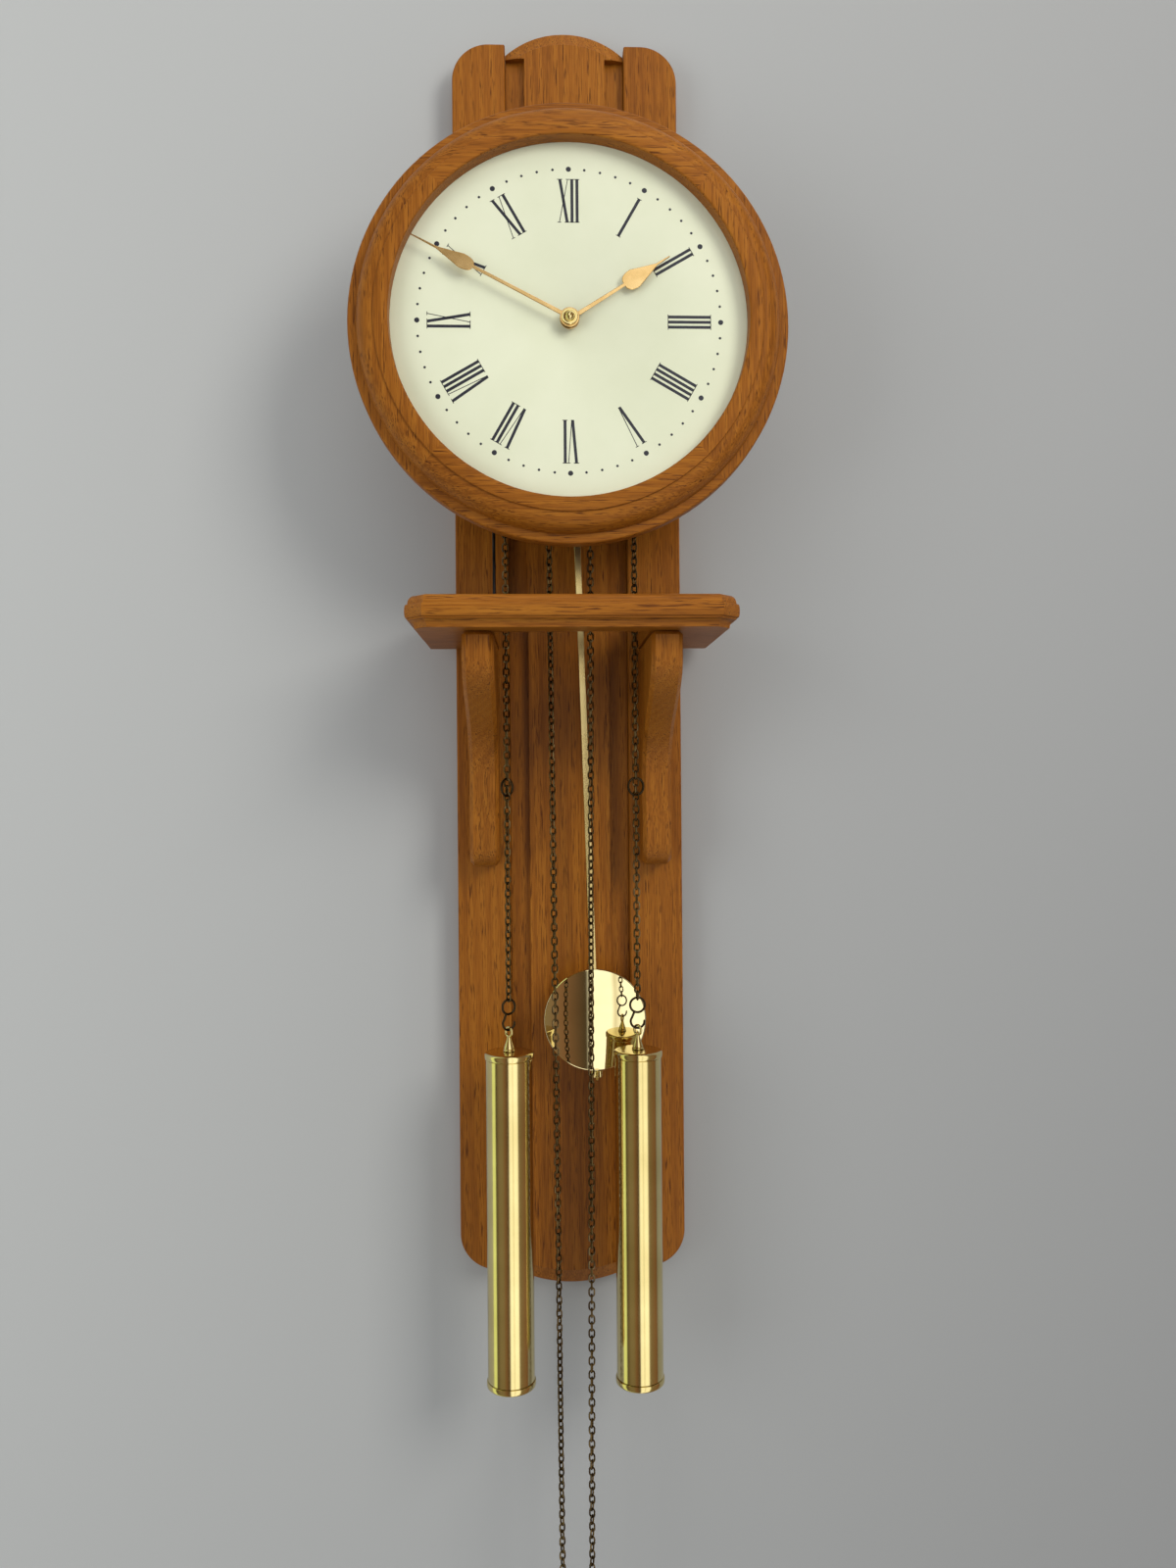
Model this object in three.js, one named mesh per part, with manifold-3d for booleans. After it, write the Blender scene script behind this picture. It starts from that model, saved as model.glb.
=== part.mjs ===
// Weight-driven wall clock: an oak backboard with a shelf and two scrolled brackets, a round oak
// bezel over a painted dial, a two-train chain movement in a case behind the dial, a pendulum with
// a brass bob, and two brass weights on chains.
// Millimetres, +Z up, X to the right as seen from the front. The origin lies on the wall, on the
// axis of the hands. "Out" is a distance from the wall towards the room, so y = -out.
import * as THREE from "three";
import { mergeVertices } from "three/addons/utils/BufferGeometryUtils.js";
import Module from "manifold-3d";

const wasm = await Module();
wasm.setup();

// Clearances
const seatGap = 0.3; // between pieces that rest on each other
const runGap = 0.3; // round a turning arbor
const meshGap = 0.4; // between the tooth tips of two wheels
const overrun = 4; // how far a cutter passes what it cuts

// Backboard
const boardHalfWidth = 102;
const panelHalfWidth = 54;
const sideBoardThickness = 20;
const sideBoardTop = 295;
const sideBoardBottom = -818;
const boardCornerRadius = 33;
const boardArris = 1.5;
const panelThickness = 17;
const panelEdgeThickness = 12;
const crestTop = 310;
const crestArchRadius = 81;
const footBottom = -834;
const footArchRadius = 117;
const archBevel = 13;
const channelWidth = 17.5;
const channelDepth = 7;
const channelStop = 5.5; // from the panel's corner to the end of a channel

// Shelf and brackets
const shelfTop = -228.8;
const shelfThickness = 25.7;
const shelfHalfWidth = 132.5;
const shelfReach = 177; // out to the nosing
const shelfCornerCut = 15;
const shelfNosingHeight = 10.2;
const shelfCoveHeight = 8.2;
const shelfFoldDepth = 2.4; // the small step above and below the nosing
const shelfInset = 7.7; // from the nosing back to the top and bottom edges
const slotHalfWidth = 63;
const slotReach = 140;
const bracketThickness = 25.5;
const bracketInner = 63.2;
const bracketHeight = 195;
const bracketReach = 131;
const bracketNose = 20;
const bracketWaist = 36;
const bracketBulb = 41;
const bracketChamfer = 3.2;

// Bezel, dial and case
const dialOut = 130;
const dialThickness = 1.2;
const lipRadius = 146;
const lipOut = 144;
const lipFace = 12;
const lipLap = 13; // of the lip over the dial
const lipRound = 1.6;
const quirkDepth = 2;
const ovoloRadius = 15.5;
const rimBand = 7.5;
const rimOut = 127;
const rimRound = 2;
const rebateRadius = lipRadius + lipLap;
const ovoloStart = lipRadius + lipFace;
const rimRadius = ovoloStart + ovoloRadius + rimBand;
const caseFrontOut = 114;
const caseHalfWidth = 100;
const caseWall = 10;
const caseHeadroom = 19; // from the dial's edge down to the case's top
const caseTop = rebateRadius - caseHeadroom;
const caseBottom = -128;
const seatTop = -90;
const seatThickness = 12;
const pendulumNotchHalfWidth = 20;
const gongHoleRadius = 5.6;

// Hanger plate, let into the back of the crest
const hangerZ = 215;
const hangerHalfWidth = 30;
const hangerHalfHeight = 20;
const hangerThickness = 2;
const hangerHeadRadius = 5;
const hangerNeckRadius = 2.6;
const hangerNeckRise = 9;
const hangerPocketDepth = 8;

// Movement frame
const backPlateOut = 58;
const frontPlateOut = 95.5;
const plateThickness = 2.5;
const plateSideRoom = 5;
const plateHalfWidth = caseHalfWidth - caseWall - plateSideRoom;
const plateTop = 100;
const plateCorner = 12;
const pillarRadius = 4;
const pillarInset = 8;
const pivotRadius = 1.2;
const arborRadius = 2;

// Trains: centres and wheel sizes
const chainPitchRadius = 18.4;
const sprocketX = 36.8;
const sprocketZ = -42;
const chainOut = 82;
const chainWidth = 6.1;
const chainWeb = 2.2;
const greatTip = 43.5;
const centreTip = 27;
const centrePinionTip = 11.9;
const thirdX = 12;
const thirdZ = 28;
const thirdTip = 24;
const escapeZ = 52.7;
const escapeTip = 22;
const wheelThickness = 2;
const timeGreatOut = 91;
const strikeGreatOut = 66;
const thirdOut = 74;
const escapeOut = 66.5;
const sprocketFlangeRadius = 21.5;
const sprocketFlange = 2;
const hammerPinRadius = 1.2;
const hammerPinLength = 4;

// Motion work and hands
const cannonOuter = 3.6;
const hourPipeOuter = 5.2;
const minuteWheelZ = -21;
const minuteWheelTip = 15;
const minutePinionTip = 4.5;
const minuteWheelOut = 103;
const hourWheelOut = 107.5;
const handThickness = 1.2;
const hourHandOut = 134;
const minuteHandOut = 138;
const hourHandLength = 97;
const hourLeafWidth = 15.9;
const minuteHandLength = 143.5;
const minuteLeafWidth = 11.9;
const handStemWidth = 3.4;
const handHubRadius = 8;
const nutCollarRadius = 6.5;
const nutCollarThickness = 1.2;
const nutDomeRadius = 4;
const hourHandTurn = THREE.MathUtils.degToRad(57.7); // clockwise from twelve
const minuteHandTurn = THREE.MathUtils.degToRad(297.3);

// Pendulum and escapement
const pivotZ = 90;
const pendulumOut = 48;
const restSwing = THREE.MathUtils.degToRad(-1.71); // bob to the right of plumb
const bobDrop = 676.9; // from the pivot to the bob's centre
const bobRadius = 45;
const bobEdge = 1.5;
const bobHalfThickness = 8;
const rodWidth = 5.6;
const rodThickness = 2;
const springTopRise = 5.7;
const springLength = 26;
const springWidth = 3.4;
const springThickness = 0.4;
const studRadius = 1.5;
const studLength = 9;
const nutRadius = 4.6;
const nutHeight = 5.2;
const anchorInner = 26;
const anchorBand = 4;
const anchorBoss = 5;
const anchorHalfSpan = THREE.MathUtils.degToRad(56);
const crutchOut = 54;
const crutchThickness = 2;
const crutchWidth = 5;
const crutchLength = 50;
const forkProng = 2;
const forkHeight = 4;
const forkReach = 9;
const cockHalfWidth = 16;
const cockHeight = 11;
const cockReach = 12.7;
const cockLugHalfWidth = 5;
const cockLugThickness = 2.4;
const cockLugOut = 50.4;

// Gong and hammer
const gongSideRoom = 24; // from the case wall to the gong
const gongX = caseWall + gongSideRoom - caseHalfWidth;
const gongOut = 50;
const gongRadius = 1.4;
const gongTop = 56;
const gongBottom = -215;
const gongBlockWidth = 16;
const gongBlockHeight = 18;
const hammerX = -42;
const hammerZ = 62;
const hammerOut = 50;
const hammerArm = 50;
const hammerArmWidth = 4;
const hammerHeadRadius = 5;
const hammerHeadLength = 16;
const hammerGap = 1;

// Chains, rings, hooks and weights
const weightX = sprocketX + chainPitchRadius;
const freeX = sprocketX - chainPitchRadius;
const stopRingZ = -380;
const stopRingRadius = 7.4;
const ringWire = 1;
const hookRingZ = -567.6;
const hookRingRadius = 6.3;
const hookRadius = 5.9;
const hookLeave = THREE.MathUtils.degToRad(245); // where the hook leaves its ring
const hookFrom = THREE.MathUtils.degToRad(140);
const hookTo = THREE.MathUtils.degToRad(372);
const hookTurns = { time: 0, strike: THREE.MathUtils.degToRad(35) };
const eyeTurn = THREE.MathUtils.degToRad(-50);
const stopRingTurns = {
  time: THREE.MathUtils.degToRad(25),
  strike: THREE.MathUtils.degToRad(52),
};
const eyeZ = -589;
const eyeRadius = 4;
const eyeWire = 1.1;
const ferruleFootRadius = 5.2;
const ferruleNeckRadius = 1.7;
const ferruleFlange = 1.2;
const weightTop = -605.6;
const weightLength = 286;
const tubeRadius = 20;
const tubeWall = 1.2;
const capRadius = 21;
const capHeight = 6;
const capRound = 1.6;
const spigotHeight = 6;
const freeEndZ = -1090;
const endRingRadius = 9;
const endRingWire = 1.2;
const freeLean = 6; // of a free run's end towards the middle

// Teeth, leaves and the windows of a crossed-out wheel
const greatTeeth = 32;
const centreTeeth = 26;
const centreLeaves = 10;
const thirdTeeth = 24;
const escapeTeeth = 30;
const trainLeaves = 6;
const cannonLeaves = 8;
const minuteTeeth = 24;
const minuteLeaves = 6;
const hourTeeth = 24;
const crossings = 4;

// Round surfaces: how many sides each kind has
const bezelSides = 56;
const discSides = 36;
const tubeSides = 24;
const arborSides = 10;
const pipeSides = 20;
const nutSides = 14;
const holeSides = 8;
const ringSides = 16;
const wireSides = 6;
const outlineCurves = 6;
const windowCurves = 2;

// Shares, chosen by hand, of the sizes that they follow
const coveShare = 0.8; // height of the cove in the space below the nosing
const cornerShare = 2 - Math.SQRT2; // how much of an inset a corner cut at 45 degrees loses
const sweepShares = [0.3, 0.33, 0.62]; // down the bracket: the sweep's two controls and its end
const bulbShares = [0.75, 0.78, 0.88];
const toothShares = [[0, 0], [0.22, 1], [0.5, 1]]; // share of a tooth's angle, of its height
const toothHeightShare = 0.6;
const pinionDepthShare = 0.3;
const windowShares = [0.09, 0.91, 0.7, 0.3];
const rimShare = 2.6; // depth of a wheel's rim, of its teeth's height
const hubShare = 0.34;
const pinCircleShare = 0.82;
const pinPhaseShare = 0.5;
const hourHandShares = { leafStart: 0.545, leafWide: 0.65, leafEnd: 0.87 };
const minuteHandShares = { leafStart: 0.61, leafWide: 0.685, leafEnd: 0.84 };
const stemShare = 0.75;
const leafShare = 0.55;
const tipShare = 0.55;

// Colours
const oak = { color: 0xa8733f, roughness: 0.5, metalness: 0 };
const darkOak = { color: 0x8a5a2e, roughness: 0.6, metalness: 0 };
const enamel = { color: 0xf2f1e6, roughness: 0.35, metalness: 0 };
const brass = { color: 0xcfa648, roughness: 0.25, metalness: 1 };
const bronze = { color: 0x5a4a30, roughness: 0.4, metalness: 1 };
const steel = { color: 0x8d8f92, roughness: 0.35, metalness: 1 };
const blackSteel = { color: 0x1c1d20, roughness: 0.5, metalness: 0.8 };
const iron = { color: 0x4a4a4c, roughness: 0.7, metalness: 0.6 };

const clock = new THREE.Group();

function place(name, geometry, look, group = clock) {
  const mesh = new THREE.Mesh(geometry, new THREE.MeshStandardMaterial(look));
  mesh.name = name;
  group.add(mesh);
  return mesh;
}

// Solids: joining and cutting closed geometries
function solidOf(geometry) {
  const bare = geometry.clone();
  bare.deleteAttribute("normal");
  bare.deleteAttribute("uv");
  const merged = mergeVertices(bare, 1e-4);
  return new wasm.Manifold(
    new wasm.Mesh({
      numProp: 3,
      vertProperties: merged.attributes.position.array,
      triVerts: new Uint32Array(merged.index.array),
    }),
  );
}

function geometryOf(solid) {
  const mesh = solid.getMesh();
  const geometry = new THREE.BufferGeometry();
  geometry.setAttribute("position", new THREE.BufferAttribute(mesh.vertProperties, 3));
  geometry.setIndex(new THREE.BufferAttribute(mesh.triVerts, 1));
  geometry.computeVertexNormals();
  return geometry;
}

function joined(first, ...others) {
  return geometryOf(others.reduce((sum, one) => sum.add(solidOf(one)), solidOf(first)));
}

function cut(body, ...cutters) {
  return geometryOf(cutters.reduce((rest, one) => rest.subtract(solidOf(one)), solidOf(body)));
}

// Plain shapes
function block(xs, outs, zs) {
  const size = [xs, outs, zs].map(([low, high]) => high - low);
  const box = new THREE.BoxGeometry(...size);
  return box.translate((xs[0] + xs[1]) / 2, -(outs[0] + outs[1]) / 2, (zs[0] + zs[1]) / 2);
}

// A round bar square to the wall, between two distances from it
function arbor(radius, x, z, outs, sides = arborSides) {
  const bar = new THREE.CylinderGeometry(radius, radius, outs[1] - outs[0], sides);
  return bar.translate(x, -(outs[0] + outs[1]) / 2, z);
}

function uprightBar(radius, x, out, zs, sides = arborSides) {
  const bar = new THREE.CylinderGeometry(radius, radius, zs[1] - zs[0], sides);
  return bar.rotateX(Math.PI / 2).translate(x, -out, (zs[0] + zs[1]) / 2);
}

// A profile of [radius, height] pairs, in either order round, turned about the y axis
function turned(profile, sides) {
  let twiceArea = 0;
  profile.forEach(([r, h], i) => {
    const [nextR, nextH] = profile[(i + 1) % profile.length];
    twiceArea += r * nextH - nextR * h;
  });
  const points = profile.map(([r, h]) => new THREE.Vector2(r, h));
  if (twiceArea < 0) points.reverse();
  if (Math.min(...profile.map(([r]) => r)) > 0) points.push(points[0].clone());
  return new THREE.LatheGeometry(points, sides);
}

// The profile's heights are distances from the wall
function turnedOut(profile, sides) {
  return turned(profile.map(([r, out]) => [r, -out]), sides);
}

// The profile's heights are z
function turnedUp(profile, sides) {
  return turned(profile, sides).rotateX(Math.PI / 2);
}

// An outline in (x, z), its back face at a distance from the wall
function facing(shape, thickness, backOut, bevel = 0, curves = outlineCurves) {
  const solid = new THREE.ExtrudeGeometry(shape, {
    depth: thickness - 2 * bevel,
    bevelEnabled: bevel > 0,
    bevelThickness: bevel,
    bevelSize: bevel,
    bevelOffset: -bevel,
    bevelSegments: 1,
    curveSegments: curves,
  });
  return solid.rotateX(Math.PI / 2).translate(0, -backOut - bevel, 0);
}

// Outlines of equal point counts, each at its own height, skinned into one solid along +z
function loft(levels) {
  const count = levels[0].outline.length;
  const positions = levels.flatMap(({ outline, height }) =>
    outline.flatMap(([x, y]) => [x, y, height]),
  );
  const index = [];
  const capOutline = levels[0].outline.map(([x, y]) => new THREE.Vector2(x, y));
  const cap = THREE.ShapeUtils.triangulateShape(capOutline, []);
  const top = (levels.length - 1) * count;
  for (const [a, b, c] of cap) {
    index.push(c, b, a);
    index.push(top + a, top + b, top + c);
  }
  for (let level = 0; level < levels.length - 1; level++) {
    for (let i = 0; i < count; i++) {
      const low = level * count + i;
      const next = level * count + ((i + 1) % count);
      index.push(low, next, next + count);
      index.push(low, next + count, low + count);
    }
  }
  const geometry = new THREE.BufferGeometry();
  geometry.setAttribute("position", new THREE.Float32BufferAttribute(positions, 3));
  geometry.setIndex(index);
  return geometry;
}

function ring(radius, wire, turn, x, z, out = chainOut) {
  const torus = new THREE.TorusGeometry(radius, wire, wireSides, ringSides);
  return torus.rotateX(Math.PI / 2).rotateZ(turn).translate(x, -out, z);
}

// Backboard
function sideBoard(side) {
  const inner = panelHalfWidth * side;
  const outer = boardHalfWidth * side;
  const corner = boardCornerRadius;
  const turnTop = side > 0 ? [Math.PI / 2, 0, true] : [Math.PI / 2, Math.PI, false];
  const turnBottom = side > 0 ? [0, -Math.PI / 2, true] : [Math.PI, Math.PI * 1.5, false];
  const shape = new THREE.Shape();
  shape.moveTo(inner, sideBoardBottom);
  shape.lineTo(inner, sideBoardTop);
  shape.absarc(outer - corner * side, sideBoardTop - corner, corner, ...turnTop);
  shape.absarc(outer - corner * side, sideBoardBottom + corner, corner, ...turnBottom);
  return facing(shape, sideBoardThickness, 0, boardArris);
}

// The panel's outline, its two arches drawn in by an inset
function panelOutline(inset) {
  const half = panelHalfWidth - seatGap;
  const steps = 10;
  const outline = [];
  const arch = (end, radius, sign) => {
    for (let i = 0; i <= steps; i++) {
      const x = THREE.MathUtils.lerp(sign * half, -sign * half, i / steps);
      const sag = radius - Math.sqrt(radius * radius - x * x);
      outline.push([x, end - sign * (sag + inset)]);
    }
  };
  arch(crestTop, crestArchRadius, 1);
  arch(footBottom, footArchRadius, -1);
  return outline;
}

function centrePanel() {
  const levels = [
    { outline: panelOutline(0), height: 0 },
    { outline: panelOutline(0), height: panelEdgeThickness },
    { outline: panelOutline(archBevel), height: panelThickness },
  ];
  const half = panelHalfWidth;
  const rise = (radius) => radius - Math.sqrt(radius * radius - half * half);
  const channelTop = crestTop - rise(crestArchRadius) - channelStop;
  const channelBottom = footBottom + rise(footArchRadius) + channelStop;
  const channels = [-1, 1].map((side) => {
    const edges = [side * (half - channelWidth), side * (half + overrun)].sort((a, b) => a - b);
    const outs = [panelThickness - channelDepth, panelThickness + overrun];
    return block(edges, outs, [channelBottom, channelTop]);
  });
  const pocket = block(
    [-hangerHalfWidth - seatGap, hangerHalfWidth + seatGap],
    [-overrun, hangerThickness + seatGap],
    [hangerZ - hangerHalfHeight - seatGap, hangerZ + hangerHalfHeight + seatGap],
  );
  const headRoom = hangerHeadRadius + seatGap;
  const well = block(
    [-headRoom, headRoom],
    [0, hangerPocketDepth],
    [hangerZ - headRoom, hangerZ + headRoom + hangerNeckRise],
  );
  const skinned = loft(levels).rotateX(Math.PI / 2);
  return cut(skinned, ...channels, pocket, well);
}

function hangerPlate() {
  const shape = new THREE.Shape();
  shape.moveTo(-hangerHalfWidth, -hangerHalfHeight);
  shape.lineTo(hangerHalfWidth, -hangerHalfHeight);
  shape.lineTo(hangerHalfWidth, hangerHalfHeight);
  shape.lineTo(-hangerHalfWidth, hangerHalfHeight);
  const keyhole = new THREE.Path();
  const mouth = Math.asin(hangerNeckRadius / hangerHeadRadius);
  keyhole.absarc(0, 0, hangerHeadRadius, Math.PI / 2 - mouth, Math.PI / 2 + mouth, true);
  keyhole.absarc(0, hangerNeckRise, hangerNeckRadius, Math.PI, 0, true);
  shape.holes.push(keyhole);
  return facing(shape, hangerThickness, 0).translate(0, 0, hangerZ);
}

// Shelf
function shelfOutline(inset) {
  const half = shelfHalfWidth - inset;
  const front = shelfReach - inset;
  const corner = shelfCornerCut - inset * cornerShare;
  const back = sideBoardThickness + seatGap;
  return [
    [-half, -back],
    [-half, -(front - corner)],
    [-(half - corner), -front],
    [half - corner, -front],
    [half, -(front - corner)],
    [half, -back],
  ];
}

function shelf() {
  const bottom = shelfTop - shelfThickness;
  const nosingBottom = bottom + shelfCoveHeight;
  const nosingTop = nosingBottom + shelfNosingHeight;
  const topHeight = shelfTop - nosingTop;
  const quarterSteps = 3;
  const levels = [];
  for (let i = 0; i <= quarterSteps; i++) {
    const angle = (i / quarterSteps) * (Math.PI / 2);
    const inset = shelfInset - (shelfInset - shelfFoldDepth) * (1 - Math.cos(angle));
    levels.push({ inset, height: bottom + shelfCoveHeight * Math.sin(angle) * coveShare });
  }
  levels.push({ inset: shelfFoldDepth, height: nosingBottom - seatGap });
  levels.push({ inset: 0, height: nosingBottom });
  levels.push({ inset: 0, height: nosingTop });
  levels.push({ inset: shelfFoldDepth, height: nosingTop + seatGap });
  for (let i = 1; i <= quarterSteps; i++) {
    const angle = (i / quarterSteps) * (Math.PI / 2);
    const inset = shelfFoldDepth + (shelfInset - shelfFoldDepth) * (1 - Math.cos(angle));
    const rise = topHeight - seatGap;
    levels.push({ inset, height: nosingTop + seatGap + rise * Math.sin(angle) });
  }
  const body = loft(levels.map(({ inset, height }) => ({ outline: shelfOutline(inset), height })));
  const slot = block(
    [-slotHalfWidth, slotHalfWidth],
    [0, slotReach],
    [bottom - overrun, shelfTop + overrun],
  );
  return cut(body, slot);
}

// A scrolled bracket: a square nose under the shelf, a long sweep back, and a rounded bulb
function bracket(side) {
  const top = shelfTop - shelfThickness - seatGap;
  const back = sideBoardThickness + seatGap;
  const down = (share) => top - bracketHeight * share;
  const shape = new THREE.Shape();
  shape.moveTo(back, top);
  shape.lineTo(bracketReach + sideBoardThickness, top);
  shape.lineTo(bracketReach + sideBoardThickness, top - bracketNose);
  shape.bezierCurveTo(
    bracketReach + sideBoardThickness, down(sweepShares[0]),
    bracketWaist + sideBoardThickness, down(sweepShares[1]),
    bracketWaist + sideBoardThickness, down(sweepShares[2]),
  );
  shape.bezierCurveTo(
    bracketWaist + sideBoardThickness, down(bulbShares[0]),
    bracketBulb + sideBoardThickness, down(bulbShares[1]),
    bracketBulb + sideBoardThickness, down(bulbShares[2]),
  );
  shape.quadraticCurveTo(bracketBulb + sideBoardThickness, down(1), back + bracketWaist / 2, down(1));
  shape.lineTo(back, down(1));
  const solid = new THREE.ExtrudeGeometry(shape, {
    depth: bracketThickness - 2 * bracketChamfer,
    bevelThickness: bracketChamfer,
    bevelSize: bracketChamfer,
    bevelOffset: -bracketChamfer,
    bevelSegments: 1,
    curveSegments: 8,
  });
  const basis = new THREE.Matrix4().makeBasis(
    new THREE.Vector3(0, -1, 0),
    new THREE.Vector3(0, 0, 1),
    new THREE.Vector3(-1, 0, 0),
  );
  const middle = bracketInner + bracketThickness / 2;
  solid.applyMatrix4(basis);
  return solid.translate(side * middle + bracketThickness / 2 - bracketChamfer, 0, 0);
}

// Bezel, dial and case
function bezelRing() {
  const back = caseFrontOut + seatGap;
  const profile = [
    [lipRadius, dialOut + seatGap],
    [lipRadius, lipOut - lipRound],
    [lipRadius + lipRound, lipOut],
    [ovoloStart, lipOut],
    [ovoloStart, lipOut - quirkDepth],
  ];
  const steps = 4;
  const drop = lipOut - quirkDepth - rimOut;
  for (let i = 1; i <= steps; i++) {
    const angle = (i / steps) * (Math.PI / 2);
    const radius = ovoloStart + ovoloRadius * Math.sin(angle);
    profile.push([radius, rimOut + drop * Math.cos(angle)]);
  }
  profile.push([rimRadius - rimRound, rimOut]);
  profile.push([rimRadius, rimOut - rimRound]);
  profile.push([rimRadius, back]);
  profile.push([rebateRadius, back]);
  profile.push([rebateRadius, dialOut + seatGap]);
  return turnedOut(profile, bezelSides);
}

function perforatedDisc(radius, hole, outs) {
  const profile = [[hole, outs[0]], [hole, outs[1]], [radius, outs[1]], [radius, outs[0]]];
  return turnedOut(profile, discSides);
}

function caseSide(side) {
  const edges = [side * (caseHalfWidth - caseWall), side * caseHalfWidth].sort((a, b) => a - b);
  return block(edges, [sideBoardThickness + seatGap, caseFrontOut], [caseBottom, caseTop]);
}

function caseLid() {
  const half = caseHalfWidth - caseWall - seatGap;
  return block([-half, half], [sideBoardThickness + seatGap, caseFrontOut], [caseTop - caseWall, caseTop]);
}

function seatBoard() {
  const half = caseHalfWidth - caseWall - seatGap;
  const back = sideBoardThickness + seatGap;
  const zs = [seatTop - seatThickness, seatTop];
  const past = [seatTop - seatThickness - overrun, seatTop + overrun];
  const body = block([-half, half], [back, caseFrontOut], zs);
  const chainHoles = [-weightX, -freeX, freeX, weightX].map((x) =>
    block([x - chainWidth, x + chainWidth], [chainOut - chainWidth, chainOut + chainWidth], past),
  );
  const notch = [-pendulumNotchHalfWidth, pendulumNotchHalfWidth];
  const pendulumNotch = block(notch, [back - overrun, backPlateOut - seatGap], past);
  const gongHole = uprightBar(gongHoleRadius, gongX, gongOut, past);
  return cut(body, ...chainHoles, pendulumNotch, gongHole);
}

// Movement frame
const arborSpots = [
  { x: 0, z: 0 },
  { x: sprocketX, z: sprocketZ },
  { x: -sprocketX, z: sprocketZ },
  { x: thirdX, z: thirdZ },
  { x: 0, z: escapeZ },
  { x: 0, z: pivotZ, reachesBehind: true },
  { x: hammerX, z: hammerZ, reachesBehind: true },
];
const pillarX = plateHalfWidth - pillarInset;
const pillarSpots = [seatTop + pillarInset, plateTop - pillarInset].flatMap((z) => [
  [-pillarX, z],
  [pillarX, z],
]);

function plate(backOut, isBack) {
  const bottom = seatTop + seatGap;
  const cornerX = plateHalfWidth - plateCorner;
  const cornerZ = plateTop - plateCorner;
  const shape = new THREE.Shape();
  shape.moveTo(-plateHalfWidth, bottom);
  shape.lineTo(plateHalfWidth, bottom);
  shape.absarc(cornerX, cornerZ, plateCorner, 0, Math.PI / 2, false);
  shape.absarc(-cornerX, cornerZ, plateCorner, Math.PI / 2, Math.PI, false);
  const outs = [backOut - overrun, backOut + plateThickness + overrun];
  const holes = arborSpots.map(({ x, z, reachesBehind }) => {
    const radius = isBack && reachesBehind ? arborRadius : pivotRadius;
    return arbor(radius + runGap, x, z, outs, holeSides);
  });
  return cut(facing(shape, plateThickness, backOut), ...holes);
}

// The four pillars are riveted to the back plate
function backPlate() {
  const outs = [backPlateOut + plateThickness / 2, frontPlateOut - seatGap];
  const pillars = pillarSpots.map(([x, z]) => arbor(pillarRadius, x, z, outs));
  return joined(plate(backPlateOut, true), ...pillars);
}

// Toothed wheels: an outline of short square-cut teeth with sector-shaped windows
function wheelShape(teeth, tip, toothHeight, crossings) {
  const shape = new THREE.Shape();
  const step = (2 * Math.PI) / teeth;
  for (let i = 0; i < teeth; i++) {
    toothShares.forEach(([angleShare, heightShare], j) => {
      const angle = (i + angleShare) * step;
      const radius = tip - toothHeight * (1 - heightShare);
      const point = [radius * Math.cos(angle), radius * Math.sin(angle)];
      if (i + j === 0) shape.moveTo(...point);
      else shape.lineTo(...point);
    });
  }
  const rimInner = tip - toothHeight * rimShare;
  const hub = tip * hubShare;
  for (let i = 0; i < crossings; i++) {
    const start = (i * 2 * Math.PI) / crossings;
    const span = (2 * Math.PI) / crossings;
    const [rimFrom, rimTo, hubFrom, hubTo] = windowShares.map((share) => start + span * share);
    const window = new THREE.Path();
    window.absarc(0, 0, rimInner, rimFrom, rimTo, false);
    window.absarc(0, 0, hub, hubFrom, hubTo, true);
    shape.holes.push(window);
  }
  return shape;
}

function wheel(teeth, tip, out, crossings) {
  const toothHeight = (tip * 2 * Math.PI * toothHeightShare) / teeth;
  const shape = wheelShape(teeth, tip, toothHeight, crossings);
  return facing(shape, wheelThickness, out - wheelThickness / 2, 0, windowCurves);
}

function pinion(leaves, tip, outs) {
  const toothHeight = tip * pinionDepthShare;
  return facing(wheelShape(leaves, tip, toothHeight, 0), outs[1] - outs[0], outs[0]);
}

// An arbor from plate to plate, with thinner pivots in the plates' holes
function pivotedArbor(x = 0, z = 0) {
  const inner = [backPlateOut + plateThickness + seatGap, frontPlateOut - seatGap];
  const outer = [backPlateOut, frontPlateOut + plateThickness];
  return joined(arbor(arborRadius, x, z, inner), arbor(pivotRadius, x, z, outer));
}

function sprocket(x) {
  const half = chainWidth / 2 + sprocketFlange + seatGap;
  const groove = chainPitchRadius - chainWidth / 2 - seatGap;
  const bore = arborRadius + runGap;
  const innerHalf = chainWidth / 2 + seatGap;
  const profile = [
    [bore, chainOut - half],
    [sprocketFlangeRadius, chainOut - half],
    [sprocketFlangeRadius, chainOut - innerHalf],
    [groove, chainOut - innerHalf],
    [groove, chainOut + innerHalf],
    [sprocketFlangeRadius, chainOut + innerHalf],
    [sprocketFlangeRadius, chainOut + half],
    [bore, chainOut + half],
  ];
  return turnedOut(profile, tubeSides).translate(x, 0, sprocketZ);
}

function strikeGreatWheel() {
  const pinCount = 8;
  const ringRadius = greatTip * pinCircleShare;
  const outs = [strikeGreatOut, strikeGreatOut + wheelThickness / 2 + hammerPinLength];
  const pins = Array.from({ length: pinCount }, (_, i) => {
    const angle = ((i + pinPhaseShare) * 2 * Math.PI) / pinCount;
    const [x, z] = [ringRadius * Math.cos(angle), ringRadius * Math.sin(angle)];
    return arbor(hammerPinRadius, x, z, outs, wireSides);
  });
  return joined(wheel(greatTeeth, greatTip, strikeGreatOut, crossings), pivotedArbor(), ...pins);
}

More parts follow.
